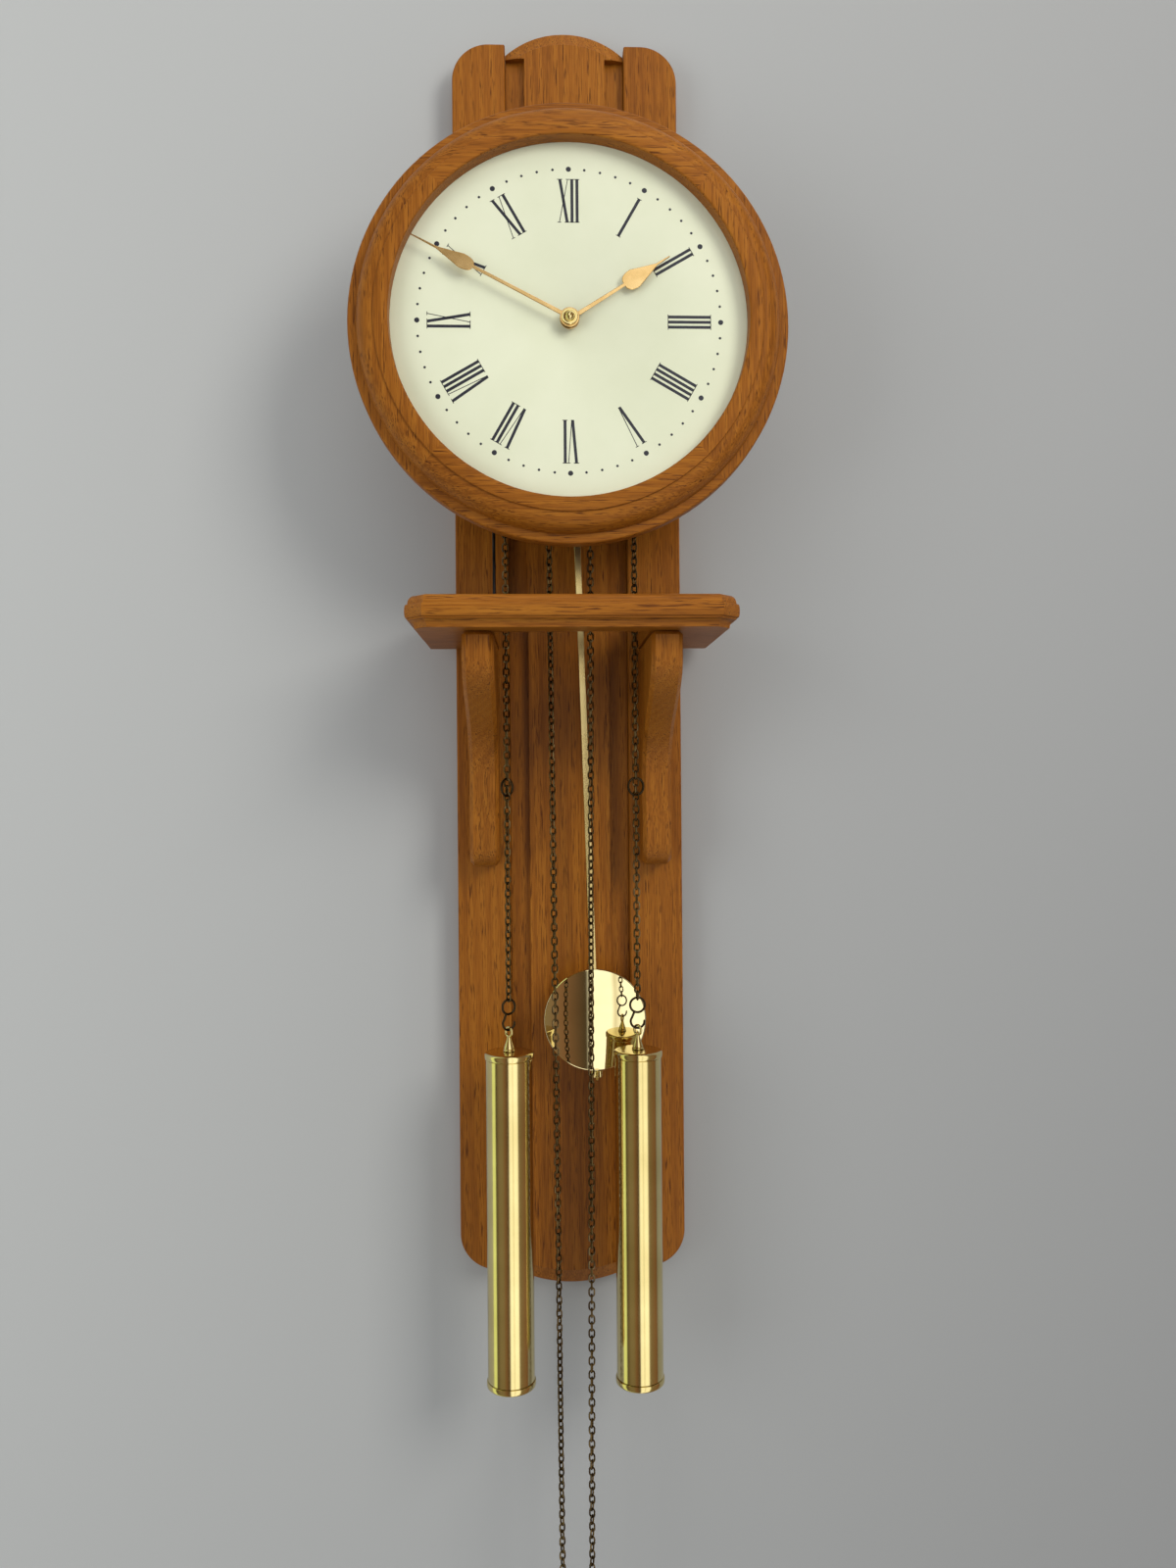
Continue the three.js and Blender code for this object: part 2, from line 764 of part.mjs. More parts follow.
function centreWheel() {
  const front = [backPlateOut, minuteHandOut + handThickness];
  const inner = [backPlateOut + plateThickness + seatGap, frontPlateOut - seatGap];
  const leafOuts = [timeGreatOut - wheelThickness * 2, timeGreatOut + wheelThickness];
  const leaves = pinion(centreLeaves, centrePinionTip, leafOuts);
  return joined(
    wheel(centreTeeth, centreTip, chainOut, crossings),
    leaves,
    arbor(pivotRadius, 0, 0, front),
    arbor(arborRadius, 0, 0, inner),
  );
}

function trainWheel(teeth, tip, out, pinionTip, pinionOut) {
  const leaves = pinion(trainLeaves, pinionTip, [pinionOut - wheelThickness, pinionOut + wheelThickness]);
  return joined(wheel(teeth, tip, out, crossings), leaves, pivotedArbor());
}

// Anchor with its arbor and the crutch behind the back plate
function anchor() {
  const band = new THREE.Shape();
  const outer = anchorInner + anchorBand;
  const [from, to] = [Math.PI / 2 - anchorHalfSpan, Math.PI / 2 + anchorHalfSpan];
  band.absarc(0, escapeZ - pivotZ, outer, from, to, false);
  band.absarc(0, escapeZ - pivotZ, anchorInner, to, from, true);
  const bandTop = escapeZ - pivotZ + outer;
  const bandSolid = facing(band, wheelThickness * 2, escapeOut - wheelThickness);
  const neck = block(
    [-anchorBand / 2, anchorBand / 2],
    [escapeOut - wheelThickness, escapeOut + wheelThickness],
    [bandTop - anchorBand / 2, 0],
  );
  const boss = arbor(anchorBoss, 0, 0, [escapeOut - wheelThickness, escapeOut + wheelThickness]);
  const shaft = arbor(arborRadius, 0, 0, [crutchOut, frontPlateOut - seatGap]);
  const pivots = arbor(pivotRadius, 0, 0, [cockLugOut, frontPlateOut + plateThickness]);
  const crutchOuts = [crutchOut, crutchOut + crutchThickness];
  const hub = arbor(crutchWidth, 0, 0, crutchOuts);
  const arm = block([-crutchWidth / 2, crutchWidth / 2], crutchOuts, [-crutchLength, 0]);
  const inner = rodWidth / 2 + runGap;
  const forkZs = [-crutchLength, forkHeight - crutchLength];
  const prongs = [-1, 1].map((side) => {
    const edges = [side * inner, side * (inner + forkProng)].sort((a, b) => a - b);
    return block(edges, [crutchOut - forkReach, crutchOut + crutchThickness], forkZs);
  });
  const bridge = block([-inner - forkProng, inner + forkProng], crutchOuts, forkZs);
  return joined(bandSolid, neck, boss, shaft, pivots, hub, arm, bridge, ...prongs);
}

function suspensionCock() {
  const bottom = pivotZ + springTopRise + seatGap;
  const outs = [backPlateOut - seatGap - cockReach, backPlateOut - seatGap];
  const body = block([-cockHalfWidth, cockHalfWidth], outs, [bottom, bottom + cockHeight]);
  const lug = block(
    [-cockLugHalfWidth, cockLugHalfWidth],
    [cockLugOut, cockLugOut + cockLugThickness],
    [pivotZ - cockLugHalfWidth, bottom + cockHeight / 2],
  );
  const hole = arbor(pivotRadius + runGap, 0, pivotZ, [cockLugOut - overrun / 2, crutchOut]);
  return cut(joined(body, lug), hole);
}

// Pendulum, drawn hanging plumb below its pivot
function pendulumRod() {
  const top = springTopRise - springLength - seatGap;
  const strip = block(
    [-rodWidth / 2, rodWidth / 2],
    [pendulumOut - rodThickness / 2, pendulumOut + rodThickness / 2],
    [-bobDrop - bobRadius, top],
  );
  const stud = uprightBar(studRadius, 0, pendulumOut, [-bobDrop - bobRadius - studLength, -bobDrop]);
  return joined(strip, stud);
}

function pendulumBob() {
  const steps = 4;
  const faceOf = (sign) => {
    const points = [];
    for (let i = 0; i <= steps; i++) {
      const share = i / steps;
      const radius = bobRadius * share;
      const dome = (bobHalfThickness - bobEdge) * (1 - share * share);
      points.push([radius, pendulumOut + sign * (bobEdge + dome)]);
    }
    return points;
  };
  const profile = [...faceOf(-1), ...faceOf(1).reverse()];
  const lens = turnedOut(profile, discSides).translate(0, 0, -bobDrop);
  const slot = block(
    [-rodWidth / 2 - seatGap, rodWidth / 2 + seatGap],
    [pendulumOut - rodThickness / 2 - seatGap, pendulumOut + rodThickness / 2 + seatGap],
    [-bobDrop - bobRadius - overrun, -bobDrop + bobRadius + overrun],
  );
  const bore = uprightBar(studRadius + seatGap, 0, pendulumOut, [-bobDrop - bobRadius - overrun, -bobDrop]);
  return cut(lens, slot, bore);
}

function ratingNut() {
  const top = -bobDrop - bobRadius - seatGap;
  const profile = [
    [studRadius + runGap, top - nutHeight],
    [studRadius + runGap, top],
    [nutRadius, top],
    [nutRadius, top - nutHeight],
  ];
  return turnedUp(profile, nutSides).translate(0, -pendulumOut, 0);
}

function suspensionSpring() {
  return block(
    [-springThickness / 2, springThickness / 2],
    [pendulumOut - springWidth / 2, pendulumOut + springWidth / 2],
    [springTopRise - springLength, springTopRise],
  );
}

// Gong and hammer
function gongBlock() {
  const half = gongBlockWidth / 2;
  const body = block(
    [gongX - half, gongX + half],
    [sideBoardThickness + seatGap, gongOut + half],
    [gongTop, gongTop + gongBlockHeight],
  );
  const socketZs = [gongTop - overrun, gongTop + gongBlockHeight / 2];
  const socket = uprightBar(gongRadius + seatGap, gongX, gongOut, socketZs);
  return cut(body, socket);
}

function hammer() {
  const outs = [hammerOut - hammerArmWidth / 2, hammerOut + hammerArmWidth / 2];
  const shaft = arbor(arborRadius, 0, 0, [outs[0], frontPlateOut - seatGap]);
  const pivots = arbor(pivotRadius, 0, 0, [outs[0], frontPlateOut + plateThickness]);
  const hub = arbor(hammerArmWidth, 0, 0, outs);
  const arm = block([-hammerArmWidth / 2, hammerArmWidth / 2], outs, [-hammerArm, 0]);
  const faceX = gongX + gongRadius + hammerGap - hammerX;
  const head = new THREE.CylinderGeometry(
    hammerHeadRadius, hammerHeadRadius, hammerHeadLength, arborSides,
  );
  head.rotateZ(Math.PI / 2).translate(faceX + hammerHeadLength / 2, -hammerOut, -hammerArm);
  const reach = block(
    [faceX + hammerHeadLength / 2, hammerArmWidth / 2],
    outs,
    [-hammerArm - hammerArmWidth / 2, -hammerArm + hammerArmWidth / 2],
  );
  return joined(shaft, pivots, hub, arm, head, reach);
}

// Hands
function handShape(length, leafWidth, shares) {
  const shape = new THREE.Shape();
  const stem = handStemWidth / 2;
  const leafStart = length * shares.leafStart;
  const leafWide = length * shares.leafWide;
  const leafEnd = length * shares.leafEnd;
  const hubEdge = Math.sqrt(handHubRadius ** 2 - stem ** 2);
  const startAngle = Math.atan2(hubEdge, stem);
  shape.absarc(0, 0, handHubRadius, startAngle, Math.PI - startAngle, true);
  const leaf = leafWidth / 2;
  const tip = stem * tipShare;
  const bendZ = (leafWide + leafEnd) / 2;
  shape.lineTo(-stem * stemShare, leafStart);
  shape.quadraticCurveTo(-leaf, leafStart, -leaf, leafWide);
  shape.quadraticCurveTo(-leaf * leafShare, bendZ, -tip, leafEnd);
  shape.lineTo(-tip / 2, length);
  shape.lineTo(tip / 2, length);
  shape.lineTo(tip, leafEnd);
  shape.quadraticCurveTo(leaf * leafShare, bendZ, leaf, leafWide);
  shape.quadraticCurveTo(leaf, leafStart, stem * stemShare, leafStart);
  return shape;
}

function hand(length, leafWidth, shares, hole, out) {
  const bore = arbor(hole, 0, 0, [out - overrun, out + handThickness + overrun], pipeSides);
  return cut(facing(handShape(length, leafWidth, shares), handThickness, out), bore);
}

// A toothed wheel on a pipe, bored to run on what is inside it
function pipedWheel(teeth, tip, out, bore, pipeOuter, pipeOuts) {
  const [back, front] = pipeOuts;
  const profile = [[bore, back], [bore, front], [pipeOuter, front], [pipeOuter, back]];
  const past = [out - wheelThickness - overrun, out + wheelThickness + overrun];
  const through = arbor(bore, 0, 0, past, pipeSides);
  return joined(cut(wheel(teeth, tip, out, 0), through), turnedOut(profile, pipeSides));
}

// Runs on a stud of the front plate
function minuteWheel() {
  const leafOuts = [minuteWheelOut + wheelThickness / 2 - seatGap, hourWheelOut + wheelThickness / 2];
  const bore = arbor(pivotRadius + runGap, 0, 0, [minuteWheelOut - overrun, hourWheelOut + overrun]);
  const leaves = pinion(minuteLeaves, minutePinionTip, leafOuts);
  return cut(joined(wheel(minuteTeeth, minuteWheelTip, minuteWheelOut, 0), leaves), bore);
}

function frontPlate() {
  const stud = arbor(pivotRadius, 0, minuteWheelZ, [frontPlateOut, hourWheelOut + wheelThickness]);
  return joined(plate(frontPlateOut, false), stud);
}

function handNut() {
  const start = minuteHandOut + handThickness + seatGap;
  const collar = start + nutCollarThickness;
  const profile = [
    [0, start],
    [nutCollarRadius, start],
    [nutCollarRadius, collar],
    [nutDomeRadius, collar],
  ];
  const steps = 3;
  for (let i = 1; i <= steps; i++) {
    const angle = (i / steps) * (Math.PI / 2);
    profile.push([nutDomeRadius * Math.cos(angle), collar + nutDomeRadius * Math.sin(angle)]);
  }
  profile[profile.length - 1][0] = 0;
  return turnedOut(profile, pipeSides);
}

// A run of chain drawn as two crossed webs, opened where rings pass through its links
function chainRun(x, zs, ringCuts) {
  const half = chainWidth / 2;
  const web = chainWeb / 2;
  const flat = block([x - half, x + half], [chainOut - web, chainOut + web], zs);
  const cross = block([x - web, x + web], [chainOut - half, chainOut + half], zs);
  return cut(joined(flat, cross), ...ringCuts);
}

// A ring with an open hook bent from the same wire below it
function sHook(x, turn) {
  const low = eyeZ + eyeRadius - eyeWire - ringWire - seatGap;
  const onCircle = (radius, z, angle) =>
    new THREE.Vector3(radius * Math.cos(angle), 0, z + radius * Math.sin(angle));
  const points = [onCircle(hookRingRadius, hookRingZ, hookLeave)];
  const steps = 7;
  for (let i = 0; i <= steps; i++) {
    const angle = THREE.MathUtils.lerp(hookFrom, hookTo, i / steps);
    points.push(onCircle(hookRadius, low + hookRadius, angle));
  }
  const wire = new THREE.Shape();
  wire.absarc(0, 0, ringWire, 0, 2 * Math.PI, false);
  const hook = new THREE.ExtrudeGeometry(wire, {
    steps: 16,
    extrudePath: new THREE.CatmullRomCurve3(points),
    curveSegments: 3,
  });
  hook.rotateZ(turn).translate(x, -chainOut, 0);
  return joined(ring(hookRingRadius, ringWire, turn, x, hookRingZ), hook);
}

// The eye stands on a ferrule that narrows upwards from a flange on the cap
function weightEye(x) {
  const loop = ring(eyeRadius, eyeWire, eyeTurn, x, eyeZ);
  const bottom = weightTop + seatGap;
  const profile = [
    [0, bottom],
    [ferruleFootRadius, bottom],
    [ferruleFootRadius, bottom + ferruleFlange],
    [ferruleNeckRadius, eyeZ - eyeRadius],
    [0, eyeZ - eyeRadius],
  ];
  return joined(loop, turnedUp(profile, arborSides).translate(x, -chainOut, 0));
}

function weightCap(x, sign) {
  const face = sign > 0 ? weightTop : weightTop - weightLength;
  const inner = face - sign * capHeight;
  const spigotEnd = inner - sign * spigotHeight;
  const spigot = tubeRadius - tubeWall - seatGap;
  const profile = [
    [0, face],
    [capRadius - capRound, face],
    [capRadius, face - sign * capRound],
    [capRadius, inner],
    [spigot, inner],
    [spigot, spigotEnd],
    [0, spigotEnd],
  ];
  return turnedUp(profile, tubeSides).translate(x, -chainOut, 0);
}

function weightTube(x) {
  const zs = [weightTop - weightLength + capHeight + seatGap, weightTop - capHeight - seatGap];
  const inner = tubeRadius - tubeWall;
  const profile = [[inner, zs[0]], [inner, zs[1]], [tubeRadius, zs[1]], [tubeRadius, zs[0]]];
  return turnedUp(profile, tubeSides).translate(x, -chainOut, 0);
}

function weightCore(x) {
  const endRoom = capHeight + spigotHeight + seatGap;
  const zs = [weightTop - weightLength + endRoom, weightTop - endRoom];
  return uprightBar(tubeRadius - tubeWall - seatGap, x, chainOut, zs, tubeSides);
}

// Assembly
place("left_side_board", sideBoard(-1), oak);
place("right_side_board", sideBoard(1), oak);
place("centre_panel", centrePanel(), oak);
place("hanger_plate", hangerPlate(), steel);
place("shelf", shelf(), oak);
place("left_bracket", bracket(-1), oak);
place("right_bracket", bracket(1), oak);
place("bezel_ring", bezelRing(), oak);
const dialRadius = rebateRadius - seatGap;
const dialHole = hourPipeOuter + runGap;
const dialBoardOuts = [caseFrontOut + seatGap, dialOut - dialThickness - seatGap];
const dialOuts = [dialOut - dialThickness, dialOut];
place("dial_board", perforatedDisc(dialRadius, handHubRadius, dialBoardOuts), darkOak);
place("dial_plate", perforatedDisc(dialRadius, dialHole, dialOuts), enamel);
place("case_left_side", caseSide(-1), darkOak);
place("case_right_side", caseSide(1), darkOak);
place("case_top", caseLid(), darkOak);
place("seat_board", seatBoard(), darkOak);
place("gong_block", gongBlock(), iron);
const gongRodTop = gongTop + gongBlockHeight / 2 - seatGap;
place("gong_rod", uprightBar(gongRadius, gongX, gongOut, [gongBottom, gongRodTop]), blackSteel);

place("back_plate", backPlate(), brass);
place("front_plate", frontPlate(), brass);
place("suspension_cock", suspensionCock(), brass);

const timeWheel = wheel(greatTeeth, greatTip, timeGreatOut, crossings);
const timeGreatWheel = joined(timeWheel, pivotedArbor());
place("time_great_wheel", timeGreatWheel, brass).position.set(sprocketX, 0, sprocketZ);
place("strike_great_wheel", strikeGreatWheel(), brass).position.set(-sprocketX, 0, sprocketZ);
place("centre_wheel", centreWheel(), brass);
const thirdPinionTip = Math.hypot(thirdX, thirdZ) - centreTip - meshGap;
const thirdWheel = trainWheel(
  thirdTeeth, thirdTip, thirdOut, thirdPinionTip, chainOut,
);
place("third_wheel", thirdWheel, brass).position.set(thirdX, 0, thirdZ);
const escapePinionTip = Math.hypot(thirdX, escapeZ - thirdZ) - thirdTip - meshGap;
const escapeWheel = trainWheel(
  escapeTeeth, escapeTip, escapeOut, escapePinionTip, thirdOut,
);
place("escape_wheel", escapeWheel, brass).position.set(0, 0, escapeZ);
place("hammer", hammer(), brass).position.set(hammerX, 0, hammerZ);

const cannonBore = pivotRadius + runGap;
const cannonTip = -minuteWheelZ - minuteWheelTip - meshGap;
const cannonOuts = [frontPlateOut + plateThickness + seatGap, minuteHandOut - seatGap];
const cannon = pipedWheel(
  cannonLeaves, cannonTip, minuteWheelOut, cannonBore, cannonOuter, cannonOuts,
);
place("cannon_pinion", cannon, brass);
place("minute_wheel", minuteWheel(), brass).position.set(0, 0, minuteWheelZ);
const hourTip = -minuteWheelZ - minutePinionTip - meshGap;
const hourBore = cannonOuter + runGap;
const hourOuts = [hourWheelOut - wheelThickness / 2, hourHandOut - seatGap];
const hourWheel = pipedWheel(
  hourTeeth, hourTip, hourWheelOut, hourBore, hourPipeOuter, hourOuts,
);
place("hour_wheel", hourWheel, brass);
const hourHand = hand(hourHandLength, hourLeafWidth, hourHandShares, hourBore, hourHandOut);
place("hour_hand", hourHand, brass).rotation.y = hourHandTurn;
const minuteHand = hand(
  minuteHandLength, minuteLeafWidth, minuteHandShares, cannonBore, minuteHandOut,
);
place("minute_hand", minuteHand, brass).rotation.y = minuteHandTurn;
place("hand_nut", handNut(), brass);

const swinging = new THREE.Group();
swinging.position.z = pivotZ;
swinging.rotation.y = restSwing;
clock.add(swinging);
place("anchor_and_crutch", anchor(), brass, swinging);
place("suspension_spring", suspensionSpring(), steel, swinging);
place("pendulum_rod", pendulumRod(), brass, swinging);
place("pendulum_bob", pendulumBob(), brass, swinging);
place("rating_nut", ratingNut(), brass, swinging);

for (const [train, side] of [["strike", -1], ["time", 1]]) {
  const x = side * weightX;
  const turn = stopRingTurns[train];
  const linkEnd = chainWidth / 2;
  place(train + "_sprocket", sprocket(side * sprocketX), steel);
  const runBottom = hookRingZ + hookRingRadius - linkEnd;
  const ringCuts = [
    ring(stopRingRadius, ringWire + seatGap, turn, x, stopRingZ),
    ring(hookRingRadius, ringWire + seatGap, hookTurns[train], x, hookRingZ),
  ];
  place(train + "_weight_chain", chainRun(x, [runBottom, sprocketZ], ringCuts), bronze);
  place(train + "_stop_ring", ring(stopRingRadius, ringWire, turn, x, stopRingZ), bronze);
  place(train + "_s_hook", sHook(x, hookTurns[train]), brass);
  place(train + "_weight_eye", weightEye(x), brass);
  place(train + "_weight_top_cap", weightCap(x, 1), brass);
  place(train + "_weight_tube", weightTube(x), brass);
  place(train + "_weight_core", weightCore(x), iron);
  place(train + "_weight_bottom_cap", weightCap(x, -1), brass);

  // The free run leans towards the middle, about its place on the sprocket
  const lean = side * Math.atan(freeLean / (sprocketZ - freeEndZ));
  const leaning = new THREE.Group();
  leaning.position.set(side * freeX, 0, sprocketZ);
  leaning.rotation.y = lean;
  clock.add(leaning);
  const drop = freeEndZ - sprocketZ;
  const endCut = ring(endRingRadius, endRingWire + seatGap, 0, 0, drop);
  const freeRun = chainRun(0, [drop + endRingRadius - linkEnd, 0], [endCut]);
  place(train + "_free_chain", freeRun, bronze, leaning);
  place(train + "_end_ring", ring(endRingRadius, endRingWire, 0, 0, drop), bronze, leaning);
}

export default clock;
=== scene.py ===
import math
import bpy
import bmesh
from mathutils import Matrix, Vector


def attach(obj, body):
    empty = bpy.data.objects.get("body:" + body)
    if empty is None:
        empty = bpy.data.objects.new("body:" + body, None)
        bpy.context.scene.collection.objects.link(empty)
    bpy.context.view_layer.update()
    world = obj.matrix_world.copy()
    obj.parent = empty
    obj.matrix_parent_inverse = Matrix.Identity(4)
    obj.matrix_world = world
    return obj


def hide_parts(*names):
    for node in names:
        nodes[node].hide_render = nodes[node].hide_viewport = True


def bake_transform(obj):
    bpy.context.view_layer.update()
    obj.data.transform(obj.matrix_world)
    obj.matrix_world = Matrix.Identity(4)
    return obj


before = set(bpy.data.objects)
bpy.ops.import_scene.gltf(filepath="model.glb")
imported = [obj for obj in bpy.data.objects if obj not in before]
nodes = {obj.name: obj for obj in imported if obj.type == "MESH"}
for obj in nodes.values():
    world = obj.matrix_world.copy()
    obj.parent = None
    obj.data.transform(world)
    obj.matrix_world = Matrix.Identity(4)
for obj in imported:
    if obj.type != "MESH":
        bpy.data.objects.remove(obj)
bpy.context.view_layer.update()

# Lengths are millimetres unless a line says metres. "Out" is a distance from the wall, so y = -out.
MM = 0.001
TURN = 2 * math.pi
QUARTER = math.pi / 2
GAP = 0.3  # between pieces that rest on each other
SHARP, ARRIS_LIMIT = 32, 34  # degrees between faces that stay an edge, and that get an arris
UP = Matrix.Identity(4)
# OUT: x to the right, y up the front, z out of the wall
OUT = Matrix(((1, 0, 0, 0), (0, 0, -1, 0), (0, 1, 0, 0), (0, 0, 0, 1)))
# SIDEWAYS: x out of the wall, y up, z to the right
SIDEWAYS = Matrix(((0, 0, 1, 0), (-1, 0, 0, 0), (0, 1, 0, 0), (0, 0, 0, 1)))

# Camera: where the photograph was taken from, in metres and degrees
CAMERA_PLACE = (-0.0262, -1.082, -0.3776)
CAMERA_YAW, CAMERA_ROLL = -2.31, -0.44
CAMERA_SENSOR, CAMERA_LENS, CAMERA_NEAR = 36, 26.8, 0.05


def turned(axis, degrees):
    return Matrix.Rotation(math.radians(degrees), 4, axis)


def moved(x, y, z):
    return Matrix.Translation((x, y, z))


def link_object(name, data):
    made = bpy.data.objects.new(name, data)
    bpy.context.scene.collection.objects.link(made)
    return made


camera = link_object("camera", bpy.data.cameras.new("camera"))
bpy.context.scene.camera = camera
camera.data.sensor_fit = "AUTO"
camera.data.sensor_width = CAMERA_SENSOR
camera.data.lens = CAMERA_LENS
camera.data.clip_start = CAMERA_NEAR
camera.matrix_world = (
    moved(*CAMERA_PLACE) @ turned("Z", CAMERA_YAW) @ turned("X", 90) @ turned("Z", CAMERA_ROLL)
)


def add_node(tree, kind, inputs, **settings):
    """Adds a shader node. An input is another node's socket or a plain value."""
    made = tree.nodes.new("ShaderNode" + kind)
    for key, value in settings.items():
        setattr(made, key, value)
    for key, value in inputs.items():
        if isinstance(value, bpy.types.NodeSocket):
            tree.links.new(value, made.inputs[key])
        else:
            made.inputs[key].default_value = value
    return made


# Materials
class Look:
    """A material with one principled shader, built up node by node."""

    def __init__(self, name, **constants):
        self.material = bpy.data.materials.new(name)
        self.material.use_nodes = True
        self.tree = self.material.node_tree
        self.tree.nodes.clear()
        self.output = self.tree.nodes.new("ShaderNodeOutputMaterial")
        self.shader = self.tree.nodes.new("ShaderNodeBsdfPrincipled")
        self.tree.links.new(self.shader.outputs[0], self.output.inputs[0])
        self.coords = self.tree.nodes.new("ShaderNodeTexCoord").outputs["Object"]
        for key, value in constants.items():
            self.shader.inputs[key.replace("_", " ")].default_value = value

    def set(self, socket, source):
        self.tree.links.new(source, self.shader.inputs[socket])

    def node(self, kind, inputs, **settings):
        return add_node(self.tree, kind, inputs, **settings)

    def stretched(self, scale, shift=(0, 0, 0)):
        inputs = {"Vector": self.coords, "Scale": scale, "Location": shift}
        return self.node("Mapping", inputs).outputs[0]

    def noise(self, vector, scale, detail=2.0, roughness=0.5, distortion=0.0):
        inputs = {"Vector": vector, "Scale": scale, "Detail": detail,
                  "Roughness": roughness, "Distortion": distortion}
        return self.node("TexNoise", inputs).outputs[0]

    def ramp(self, factor, stops):
        made = self.node("ValToRGB", {"Fac": factor})
        fill_ramp(made.color_ramp, stops)
        return made.outputs[0]

    def cover(self, factor, under, colour):
        """Lays a plain colour over another where factor is high."""
        return self.node("Mix", {0: factor, 6: under, 7: (*colour, 1)}, data_type="RGBA").outputs[2]

    def math(self, operation, a, b):
        return self.node("Math", {0: a, 1: b}, operation=operation).outputs[0]

    def blend(self, parts):
        """The sum of the parts, each a factor and its weight."""
        weighted = [self.math("MULTIPLY", factor, weight) for factor, weight in parts]
        total = weighted[0]
        for one in weighted[1:]:
            total = self.math("ADD", total, one)
        return total

    def spread(self, factor, low, high):
        inputs = {"Value": factor, "To Min": low, "To Max": high}
        return self.node("MapRange", inputs).outputs[0]

    def bump(self, height, strength, distance):
        inputs = {"Height": height, "Strength": strength, "Distance": distance}
        self.set("Normal", self.node("Bump", inputs).outputs[0])


def fill_ramp(ramp, stops):
    while len(ramp.elements) < len(stops):
        ramp.elements.new(0.5)
    for element, (place, colour) in zip(ramp.elements, stops):
        element.position = place
        element.color = (*colour, 1)


def grey(level):
    return (level, level, level)


# The oak's marks: the scale of each one's noise or wave texture
DRIFT, FIGURE, STREAKS, FIBRES, PORES, RAYS = 14, 60, 900, 1500, 1100, 170
# The share of that scale along the grain. FIGURE takes the streaks' share.
DRIFT_ALONG, STREAK_ALONG, FIBRE_ALONG, PORE_ALONG, RAY_ALONG = (
    (1, 1, share) for share in (0.2, 0.02, 0.03, 0.05, 0.22)
)
RAY_SHIFT = (0.3, 0.1, 0.2)


def oak_look(name, dark, middle, light, pore, roughness):
    """Oak whose grain runs along z of the piece's own frame."""
    look = Look(name, Coat_Weight=0.05, Coat_Roughness=0.25, Specular_IOR_Level=0.2)
    drift = look.noise(look.stretched(DRIFT_ALONG), DRIFT, 2)
    figure = look.node("TexWave", {
        "Vector": look.stretched(STREAK_ALONG), "Scale": FIGURE, "Distortion": 5, "Detail": 3,
        "Detail Scale": 1.6, "Detail Roughness": 0.6,
    }, wave_type="BANDS", bands_direction="DIAGONAL").outputs[0]
    streak = look.noise(look.stretched(STREAK_ALONG), STREAKS, 4, 0.62)
    fibre = look.noise(look.stretched(FIBRE_ALONG), FIBRES, 2, 0.6)
    tone = look.blend([(figure, 0.1), (streak, 0.55), (drift, 0.35)])
    colour = look.ramp(tone, [(0.34, dark), (0.5, middle), (0.68, light)])
    pores = look.noise(look.stretched(PORE_ALONG), PORES, 2, 0.55)
    pores = look.ramp(pores, [(0.53, grey(0)), (0.64, grey(0.92))])
    ring = look.ramp(figure, [(0.35, grey(0.4)), (0.8, grey(1))])
    pores = look.math("MULTIPLY", pores, ring)
    colour = look.cover(pores, colour, pore)
    ray = look.noise(look.stretched(RAY_ALONG, RAY_SHIFT), RAYS, 1, 0.4, 0.4)
    flecks = look.ramp(ray, [(0.68, grey(0)), (0.76, grey(0.2))])
    look.set("Base Color", look.cover(flecks, colour, light))
    look.set("Roughness", look.spread(fibre, roughness - 0.07, roughness + 0.1))
    height = look.math("SUBTRACT", look.math("MULTIPLY", fibre, 0.4), pores)
    look.bump(height, 0.3, 0.0003)
    return look.material


UPRIGHT_BRUSHED = (1, 1, 0.02)


def metal_look(name, dull, bright, roughness, patch, grain, brushed=(1, 1, 1), bump=0.03):
    """Metal that clouds between two tones. patch and grain are the scales of its two noises."""
    look = Look(name, Metallic=1.0)
    cloud = look.noise(look.stretched((1, 1, 1), (0.7, 0.2, 0.4)), patch, 3, 0.55)
    look.set("Base Color", look.ramp(cloud, [(0.3, dull), (0.68, bright)]))
    scratch = look.noise(look.stretched(brushed), grain, 3, 0.6)
    look.set("Roughness", look.spread(look.blend([(cloud, 0.6), (scratch, 0.4)]), *roughness))
    look.bump(scratch, bump, 0.0002)
    return look.material


def enamel_look():
    look = Look("dial_enamel", Coat_Weight=0.25, Coat_Roughness=0.12)
    mottle = look.noise(look.coords, 11, 4, 0.6)
    look.set("Base Color", look.ramp(mottle, [(0.3, (0.68, 0.7, 0.5)), (0.7, (0.74, 0.755, 0.56))]))
    look.set("Roughness", look.spread(look.noise(look.coords, 160, 2), 0.3, 0.42))
    look.bump(look.noise(look.coords, 650, 2), 0.03, 0.0002)
    return look.material


def ink_look():
    look = Look("dial_ink", Coat_Weight=0.2, Coat_Roughness=0.2)
    mottle = look.noise(look.coords, 260, 3)
    look.set("Base Color", look.ramp(mottle, [(0.3, (0.006, 0.007, 0.016)), (0.7, (0.014, 0.016, 0.03))]))
    look.set("Roughness", look.spread(look.noise(look.coords, 500, 2), 0.32, 0.48))
    return look.material


